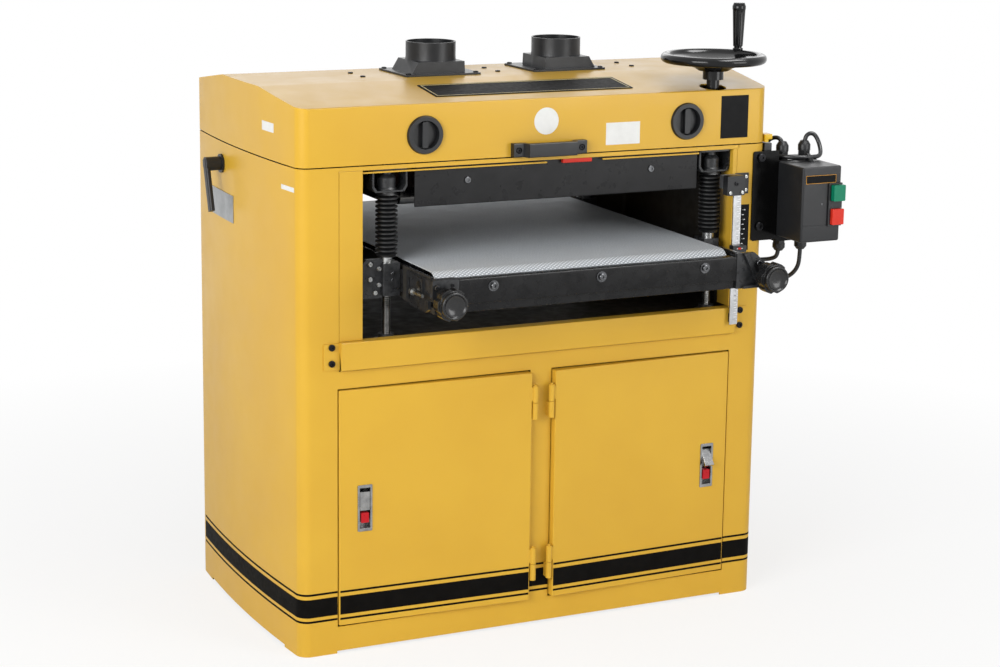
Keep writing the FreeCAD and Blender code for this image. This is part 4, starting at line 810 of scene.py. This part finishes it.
def makeDishes():
    # the turned dish that closes each knob's cup, brighter than the moulded rim round it
    for side in ("left", "right"):
        low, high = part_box("tracking_knob_" + side)
        deep = at(0, dish["front"] + dish["depth"], 0).y
        place = Vector(((low[0] + high[0]) / 2, deep, (low[2] + high[2]) / 2))
        mesh = turnedMesh("dish", dish["profile"], place, "knob_dish", toFront, 64)
        settle("knobDish" + side.capitalize(), mesh, bodyOf["tracking_knob_" + side],
               smooth=50)


makeDishes()
print("knob dishes set in")

sleeves = {"from": 777.2, "to": 903.4, "at": [(x, y) for x in (188, 902) for y in (29, 561)],
           "sizes": {"Folds": 15, "Outer": 21.5, "Inner": 14.2, "Cuff": 18.5, "Bore": 11.6, "Height": 126.2,
                     "Sides": 36}}


def sleeveTree():
    # a grid rolled into a bellows: up the folded outside, over the rim and down the plain bore
    tree, add, given = newTree("bellows", sleeves["sizes"])
    up = add("ShaderNodeMath", {0: given["Folds"], 1: 3}, operation="MULTIPLY")
    rows = add("ShaderNodeMath", {0: up, 1: 3}, operation="ADD")
    across = add("ShaderNodeMath", {0: given["Sides"], 1: 1}, operation="ADD")
    along = add("ShaderNodeMath", {0: rows, 1: 1}, operation="ADD")
    grid = add("GeometryNodeMeshGrid", {
        "Size X": math.tau, "Size Y": 1.0, "Vertices X": across, "Vertices Y": along})
    spot = add("GeometryNodeInputPosition")
    angle, height, _ = add("ShaderNodeSeparateXYZ", {0: spot}, give=None).outputs
    half = add("ShaderNodeMath", {0: height, 1: 0.5}, operation="ADD")
    unevenRow = add("ShaderNodeMath", {0: half, 1: rows}, operation="MULTIPLY")
    row = add("ShaderNodeMath", {0: unevenRow}, operation="ROUND")
    step = add("ShaderNodeMath", {0: row, 1: 3}, operation="MODULO")
    tip = add("ShaderNodeMath", {0: step, 1: 0.5}, operation="GREATER_THAN")
    folded = add("ShaderNodeMix", {0: tip, 2: given["Inner"], 3: given["Outer"]})
    fromTop = add("ShaderNodeMath", {0: up, 1: row}, operation="SUBTRACT")
    nearEnd = add("ShaderNodeMath", {0: row, 1: fromTop}, operation="MINIMUM")
    rim = add("ShaderNodeMath", {0: nearEnd, 1: 1.5}, operation="LESS_THAN")
    outside = add("ShaderNodeMix", {0: rim, 2: folded, 3: given["Cuff"]})
    past = add("ShaderNodeMath", {0: row, 1: up}, operation="SUBTRACT")
    offBore = add("ShaderNodeMath", {0: past, 1: 1.5, 2: 0.75}, operation="COMPARE")
    radius = add("ShaderNodeMix", {0: offBore, 2: outside, 3: given["Bore"]})
    share = add("ShaderNodeMath", {0: row, 1: up}, operation="DIVIDE")
    below = add("ShaderNodeMath", {0: past, 1: 1.5}, operation="GREATER_THAN")
    capped = add("ShaderNodeMath", {0: share, 1: 1.0}, operation="MINIMUM")
    level = add("ShaderNodeMix", {0: below, 2: capped, 3: 0.0})
    cosine = add("ShaderNodeMath", {0: angle}, operation="COSINE")
    sine = add("ShaderNodeMath", {0: angle}, operation="SINE")
    place = add("ShaderNodeCombineXYZ", {
        number: add("ShaderNodeMath", {0: a, 1: b}, operation="MULTIPLY")
        for number, (a, b) in enumerate(((radius, cosine), (radius, sine), (level, given["Height"])))})
    rolled = add("GeometryNodeSetPosition", {0: grid, "Position": place})
    welded = add("GeometryNodeMergeByDistance", {0: rolled, "Distance": 0.00002})
    placed = add("GeometryNodeInstanceOnPoints", {"Points": given["Shape"], "Instance": welded})
    return closeTree(tree, given, placed)


def makeSleeves():
    start = pointMesh([(x, y, sleeves["from"]) for x, y in sleeves["at"]])
    mesh = runTree(sleeveTree(), start, "black_rubber", sleeves["sizes"])
    piece = makePiece("screwBellows", outward(mesh), ("bellows",), smooth=60)
    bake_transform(piece)
    # the folds are spaced evenly, so the share is straight along the sleeve
    print("bellows folded:", sleeves["sizes"]["Folds"], "folds each")


makeSleeves()

conveyor = {"left": 227.0, "front": -89.0, "axle": 740.0,
            "sizes": {"Radius": 25.3, "Spacing": 768.0, "Width": 635.0, "Thickness": 1.7, "Points": 96}}


def beltTree():
    # a ring of points pulled apart into a loop over two rollers, swept with the belt's section; the length
    # along the loop and round the section is kept as the UV map for the grip pattern
    tree, add, given = newTree("conveyor", conveyor["sizes"])
    middleRadius = add("ShaderNodeMath", {
        0: given["Thickness"], 1: 0.5, 2: given["Radius"]}, operation="MULTIPLY_ADD")
    ring = add("GeometryNodeCurvePrimitiveCircle", {"Resolution": given["Points"], "Radius": middleRadius})
    upright = add("GeometryNodeTransform", {0: ring, "Rotation": (0, math.pi / 2, 0)})
    spot = add("GeometryNodeInputPosition")
    back = add("ShaderNodeSeparateXYZ", {0: spot}, 1)
    rearHalf = add("ShaderNodeMath", {0: back, 1: -0.000001}, operation="GREATER_THAN")
    side = add("ShaderNodeMath", {0: rearHalf, 1: 1.0, 2: -0.5}, operation="MULTIPLY_ADD")
    pullBy = add("ShaderNodeMath", {0: side, 1: given["Spacing"]}, operation="MULTIPLY")
    pull = add("ShaderNodeCombineXYZ", {1: pullBy})
    loop = add("GeometryNodeSetPosition", {0: upright, "Offset": pull})
    faced = add("GeometryNodeSetCurveNormal", {0: loop, "Normal": (1, 0, 0)}, mode="FREE")
    section = add("GeometryNodeCurvePrimitiveQuadrilateral", {
        "Width": given["Width"], "Height": given["Thickness"]})
    length = add("GeometryNodeSplineParameter", None, "Length")
    kept = []
    for curve, label in ((faced, "Along"), (section, "Across")):
        node = add("GeometryNodeCaptureAttribute", {0: curve}, give=None)
        node.capture_items.new("FLOAT", label)
        tree.links.new(length, node.inputs[1])
        kept.append(node.outputs)
    swept = add("GeometryNodeCurveToMesh", {0: kept[0][0], 1: kept[1][0]})
    flat = add("ShaderNodeCombineXYZ", {0: kept[0][1], 1: kept[1][1]})
    mapped = add("GeometryNodeStoreNamedAttribute", {
        0: swept, "Name": "UVMap", "Value": flat}, data_type="FLOAT2", domain="CORNER")
    return closeTree(tree, given, mapped)


def makeConveyor():
    sizes = conveyor["sizes"]
    mesh = runTree(beltTree(), pointMesh(), "abrasive_belt", sizes)
    middle = at(conveyor["left"] + sizes["Width"] / 2, conveyor["front"] + sizes["Spacing"] / 2,
                conveyor["axle"])
    mesh.transform(Matrix.Translation(middle))
    settle("conveyorBelt", outward(mesh), "table", ("conveyor_belt",), smooth=50)
    spans = [[v.co[k] for v in mesh.vertices] for k in range(3)]
    print("conveyor belt", [round(max(span) - min(span), 4) for span in spans])


makeConveyor()

stripes = {
    "heights": [(68.8, 73.0), (79.6, 116.6), (123.8, 128.0)], "thickness": 0.5, "finish": "plate_film",
    "post": (487.4, 532.6), "doorFace": -2.5,
    "doors": {"left": {"span": (80.5, 482.5), "edge": 78.5, "turn": -1.7},
              "right": {"span": (537.5, 939.5), "edge": 941.5, "turn": 1.7}},
    "depths": range(572, 30, -30), "cornerAt": (22.75, 25), "cornerRadius": 25.0, "cornerSteps": 8,
    "lean": 5.1, "cornerEnd": (75.6, 0),
}


def bandTree():
    # a flat band laid along a path, for stripes and stickers
    tree, add, given = newTree("bands", {"Low": 0.0, "High": 10.0, "Thickness": 0.5})
    level = add("GeometryNodeSetCurveNormal", {0: given["Shape"]}, mode="Z_UP")
    high = add("ShaderNodeMath", {0: given["High"], 1: given["Low"]}, operation="SUBTRACT")
    section = add("GeometryNodeCurvePrimitiveQuadrilateral", {"Width": given["Thickness"], "Height": high})
    swept = add("GeometryNodeCurveToMesh", {0: level, 1: section, "Fill Caps": True})
    middle = add("ShaderNodeMath", {0: high, 1: 0.5, 2: given["Low"]}, operation="MULTIPLY_ADD")
    lift = add("ShaderNodeCombineXYZ", {2: middle})
    raised = add("GeometryNodeTransform", {0: swept, "Translation": lift})
    return closeTree(tree, given, raised)


def pathCurve(places):
    curve = bpy.data.curves.new("path", "CURVE")
    curve.dimensions = "3D"
    line = curve.splines.new("POLY")
    line.points.add(len(places) - 1)
    for point, (x, y) in zip(line.points, places):
        point.co = (*at(x, y, 0), 1)
    return curve


bands = bandTree()


def bandMeshes(places, heights, finish):
    thick = stripes["thickness"]
    return [runTree(bands, pathCurve(places), finish, {"Low": low, "High": high, "Thickness": thick})
            for low, high in heights]


def cornerPath(right):
    # from the rear along the bowed side and round the front corner
    (middleX, middleY), radius = stripes["cornerAt"], stripes["cornerRadius"]
    lean, steps = math.radians(stripes["lean"]), stripes["cornerSteps"]
    path = [(sideX(y, False), y) for y in stripes["depths"]]
    for step in range(steps + 1):
        angle = math.pi + lean + (math.pi / 2 - lean) * step / steps
        path.append((middleX + radius * math.cos(angle), middleY + radius * math.sin(angle)))
    path.append(stripes["cornerEnd"])
    return [(footprint["width"] - x, y) for x, y in path] if right else path


def makeStripes():
    heights, finish = stripes["heights"], stripes["finish"]
    pieces = []
    for path in (cornerPath(False), cornerPath(True), [(x, 0) for x in stripes["post"]]):
        pieces += bandMeshes(path, heights, finish)
    settle("cabinetStripes", outward(joined("cabinetStripes", pieces)), "cabinet")
    for side, door in stripes["doors"].items():
        name = "doorStripes" + side.capitalize()
        mesh = joined(name, bandMeshes([(x, stripes["doorFace"]) for x in door["span"]], heights, finish))
        hinge = at(door["edge"], 0, 0)
        turn = Matrix.Rotation(math.radians(door["turn"]), 4, "Z")
        mesh.transform(Matrix.Translation(hinge) @ turn @ Matrix.Translation(-hinge))
        settle(name, outward(mesh), "door_" + side + "_body")
    print("stripes laid")


makeStripes()

stickers = {
    "pairSticker": {"path": [(644, 0), (720, 0)], "height": (972.5, 1016.5), "finish": "white_film",
                    "body": "hood"},
    "tallSticker": {"path": [(906, 0), (970, 0)], "height": (972.5, 1059), "finish": "black_film",
                    "body": "hood"},
    "hoodSideSticker": {"path": [(sideX(y, False), y) for y in (112, 130, 150, 168)], "height": (1013, 1031),
                        "finish": "white_film", "body": "hood"},
    "wallSticker": {"path": [(sideX(y, False), y) for y in (22, 40, 60, 78)], "height": (912, 921),
                    "finish": "white_film", "body": "cabinet"},
    "scaleStrip": {"path": [(958, 0), (980, 0)], "height": (739, 834), "finish": "black_film",
                   "body": "cabinet"},
}
roundSticker = {"at": (512.2, 0, 1026.4), "sizes": {"Radius": 26.5, "Thickness": 0.5, "Facing": toFront}}


def makeStickers():
    for name, piece in stickers.items():
        mesh = joined(name, bandMeshes(piece["path"], [piece["height"]], piece["finish"]))
        settle(name, outward(mesh), piece["body"])
    disc = runTree(discs, pointMesh([roundSticker["at"]]), "white_film", roundSticker["sizes"])
    settle("roundSticker", disc, "hood")
    print("bare stickers placed:", len(stickers) + 1)


makeStickers()

# the plate's line follows the CAD plate, this far inside its edge and above its face
plateLine = {"inset": 12, "line": 2.4, "thick": 0.8, "above": 0.6}
coverLine = {"long": 71, "tall": 16, "line": 1.3, "at": (1089.5, -95.5, 893.2)}
coverLabel = {"low": (1053, -95.4, 884.4), "high": (1126, -94.9, 902)}


def borderTree():
    # a thin raised line round a flat label
    tree, add, given = newTree("border", {"Long": 100.0, "Tall": 30.0, "Line": 1.0, "Rise": 0.4})
    edge = add("GeometryNodeCurvePrimitiveQuadrilateral", {"Width": given["Long"], "Height": given["Tall"]})
    section = add("GeometryNodeCurvePrimitiveQuadrilateral", {
        "Width": given["Line"], "Height": given["Rise"]})
    swept = add("GeometryNodeCurveToMesh", {0: edge, 1: section})
    placed = add("GeometryNodeInstanceOnPoints", {"Points": given["Shape"], "Instance": swept})
    return closeTree(tree, given, placed)


def makeBorders():
    low, high = [Vector(corner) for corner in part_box("nameplate")]
    middle, size = (low + high) / 2, high - low
    middle.z += plateLine["above"] / 1000
    borders = {
        "nameplateLine": {"Long": size.x * 1000 - plateLine["inset"], "Line": plateLine["line"],
                          "Tall": math.hypot(size.z, size.y) * 1000 - plateLine["inset"],
                          "tilt": math.atan2(size.z - plateLine["thick"] / 1000, size.y), "at": middle,
                          "finish": "cream_film", "body": "hood"},
        "coverLine": {"Long": coverLine["long"], "Tall": coverLine["tall"], "Line": coverLine["line"],
                      "tilt": math.pi / 2, "at": at(*coverLine["at"]), "finish": "ochre_film",
                      "body": "cabinet"},
    }
    tree, centre = borderTree(), (footprint["middleX"], footprint["middleY"], 0)
    for name, border in borders.items():
        mesh = runTree(tree, pointMesh([centre]), border["finish"], border)
        mesh.transform(Matrix.Translation(border["at"]) @ Matrix.Rotation(border["tilt"], 4, "X"))
        settle(name, outward(mesh), border["body"])
    label = plainBox("coverLabel", coverLabel["low"], coverLabel["high"], "black_film")
    settle("coverLabel", label, "cabinet")
    print("label lines drawn:", len(borders))


makeBorders()

# the real lines are 0.3 mm wide; they are drawn about three times as wide or more so that they show
scales = {
    "ruleMarks": {"at": (938, -22.1, 600), "span": 255, "finish": "black_film",
                  "sets": [(5, 5, 0.8), (10, 8, 1.2)]},
    "stripMarks": {"at": (963, -0.5, 743), "span": 86, "finish": "white_film",
                   "sets": [(10, 4.5, 1.6), (20, 8, 1.8)]},
}
pointer = {
    "red_plastic": [((934, -38.6, 749), (941, -36, 753))],
    "white_film": [((930.1, -38.6, 750), (933.4, -36, 752)), ((941.6, -38.6, 750), (944.9, -36, 752))],
}


def tickTree():
    # a ladder of small flat marks from every point upward
    tree, add, given = newTree("ticks", {
        "Count": 10, "Pitch": 1.0, "Length": 5.0, "Width": 0.3, "Depth": 0.2})
    size = add("ShaderNodeCombineXYZ", {0: given["Length"], 1: given["Depth"], 2: given["Width"]})
    mark = add("GeometryNodeMeshCube", {"Size": size})
    half = add("ShaderNodeMath", {0: given["Length"], 1: 0.5}, operation="MULTIPLY")
    shift = add("ShaderNodeCombineXYZ", {0: half})
    moved = add("GeometryNodeTransform", {0: mark, "Translation": shift})
    step = add("ShaderNodeCombineXYZ", {2: given["Pitch"]})
    ladder = add("GeometryNodeMeshLine", {"Count": given["Count"], "Offset": step}, mode="OFFSET")
    rungs = add("GeometryNodeInstanceOnPoints", {"Points": ladder, "Instance": moved})
    placed = add("GeometryNodeInstanceOnPoints", {"Points": given["Shape"], "Instance": rungs})
    return closeTree(tree, given, placed)


def makeScales():
    tree = tickTree()
    for name, scale in scales.items():
        ladders = []
        for pitch, length, width in scale["sets"]:
            count = int(scale["span"] / pitch) + 1
            sizes = {"Count": count, "Pitch": pitch, "Length": length, "Width": width, "Depth": 0.2}
            ladders.append(runTree(tree, pointMesh([scale["at"]]), scale["finish"], sizes))
        settle(name, joined(name, ladders), "cabinet")
    for finish, spans in pointer.items():
        marks = [plainBox("mark", low, high, finish) for low, high in spans]
        settle("pointer" + finish.split("_")[0].capitalize(), joined("marks", marks), "table")
    print("scales marked")


makeScales()

# stage

# near and far are metres from the middle of the floor; least is the glow inside the near distance
floorLook = {"size": 14.0, "colour": "#F4F4F2", "roughness": 0.9, "drop": 0.0005,
             "seen": {"near": 0.6, "far": 2.2, "least": 0.75},
             "inGloss": {"near": 0.9, "far": 3.2, "least": 0.15}}
backdrop = {"light": 0.38, "seen": 1.0}
# the two cards only show in gloss, as white reflectors over and behind an object do in a studio
lamps = {
    "key": {"at": (-3.1, -2.1, 1.9), "aim": (0, 0, 0.7), "size": (2.2, 1.8), "power": 110},
    "fill": {"at": (1.9, -3.2, 1.5), "aim": (0.1, 0, 0.7), "size": (1.8, 2.0), "power": 51},
    "top": {"at": (0.2, -0.4, 3.3), "aim": (0, 0, 0.9), "size": (2.6, 1.8), "power": 5},
    "sheenCard": {"at": (1.7, 3.2, 2.4), "aim": (0, 0, 1.1), "size": (3.4, 1.5), "power": 21},
    "edgeCard": {"at": (1.0, -1.2, 3.2), "aim": (0, 0, 0.7), "size": (2.0, 1.0), "power": 80},
}
white = (1, 1, 1, 1)


def viewRays(tree):
    # whether a ray comes from the camera itself, and whether it does so by a reflection or through glass
    ray = addNode(tree, "ShaderNodeLightPath", give=None).outputs
    mirrored = addNode(tree, "ShaderNodeMath", {
        0: ray["Is Glossy Ray"], 1: ray["Is Transmission Ray"]}, operation="MAXIMUM")
    return ray["Is Camera Ray"], mirrored


def makeFloor():
    # pale paper that fades to white away from the object and keeps its shadow
    mesh = bpy.data.meshes.new("floor")
    half = floorLook["size"] / 2
    corners = [(-half, -half, 0), (half, -half, 0), (half, half, 0), (-half, half, 0)]
    mesh.from_pydata(corners, [], [(0, 1, 2, 3)])
    floor = bpy.data.objects.new("floor", mesh)
    floor.location.z = -floorLook["drop"]
    scene.collection.objects.link(floor)
    paint = bpy.data.materials.new("palePaper")
    paint.use_nodes = True
    tree = paint.node_tree
    shader = tree.nodes["Principled BSDF"]
    shader.inputs["Base Color"].default_value = srgb(floorLook["colour"])
    shader.inputs["Roughness"].default_value = floorLook["roughness"]
    camera, mirrored = viewRays(tree)
    place = addNode(tree, "ShaderNodeTexCoord", None, "Object")
    middle = addNode(tree, "ShaderNodeVectorMath", {0: place}, "Value", operation="LENGTH")
    fades = []
    for fade in (floorLook["seen"], floorLook["inGloss"]):
        fades.append(addNode(tree, "ShaderNodeMapRange", {
            "Value": middle, "From Min": fade["near"], "From Max": fade["far"], "To Min": fade["least"],
            "To Max": 1.0}))
    away, inGloss = fades
    glow = addNode(tree, "ShaderNodeEmission", {"Color": white, "Strength": 1.0})
    direct = addNode(tree, "ShaderNodeMath", {0: camera, 1: away}, operation="MULTIPLY")
    share = addNode(tree, "ShaderNodeMath", {0: mirrored, 1: inGloss, 2: direct}, operation="MULTIPLY_ADD")
    mix = addNode(tree, "ShaderNodeMixShader", {0: share, 1: shader.outputs[0], 2: glow})
    tree.links.new(mix, tree.nodes["Material Output"].inputs[0])
    mesh.materials.append(paint)


def makeBackdrop():
    world = bpy.data.worlds.new("studio")
    scene.world = world
    world.use_nodes = True
    tree = world.node_tree
    tree.nodes.clear()
    camera, mirrored = viewRays(tree)
    seen = addNode(tree, "ShaderNodeMath", {0: camera, 1: mirrored}, operation="MAXIMUM")
    soft, full = [addNode(tree, "ShaderNodeBackground", {"Color": white, "Strength": backdrop[kind]})
                  for kind in ("light", "seen")]
    mix = addNode(tree, "ShaderNodeMixShader", {0: seen, 1: soft, 2: full})
    addNode(tree, "ShaderNodeOutputWorld", {0: mix}, give=None)


def makeLamp(name, lamp):
    data = bpy.data.lights.new(name, "AREA")
    data.shape = "RECTANGLE"
    data.size, data.size_y = lamp["size"]
    data.energy = lamp["power"]
    light = bpy.data.objects.new(name, data)
    light.location = lamp["at"]
    light.rotation_euler = (Vector(lamp["at"]) - Vector(lamp["aim"])).to_track_quat("Z", "Y").to_euler()
    scene.collection.objects.link(light)
    light.visible_diffuse = not name.endswith("Card")


makeFloor()
makeBackdrop()
for name, lamp in lamps.items():
    makeLamp(name, lamp)
scene.view_settings.view_transform = "Standard"
print("stage set with", len(lamps), "lamps")
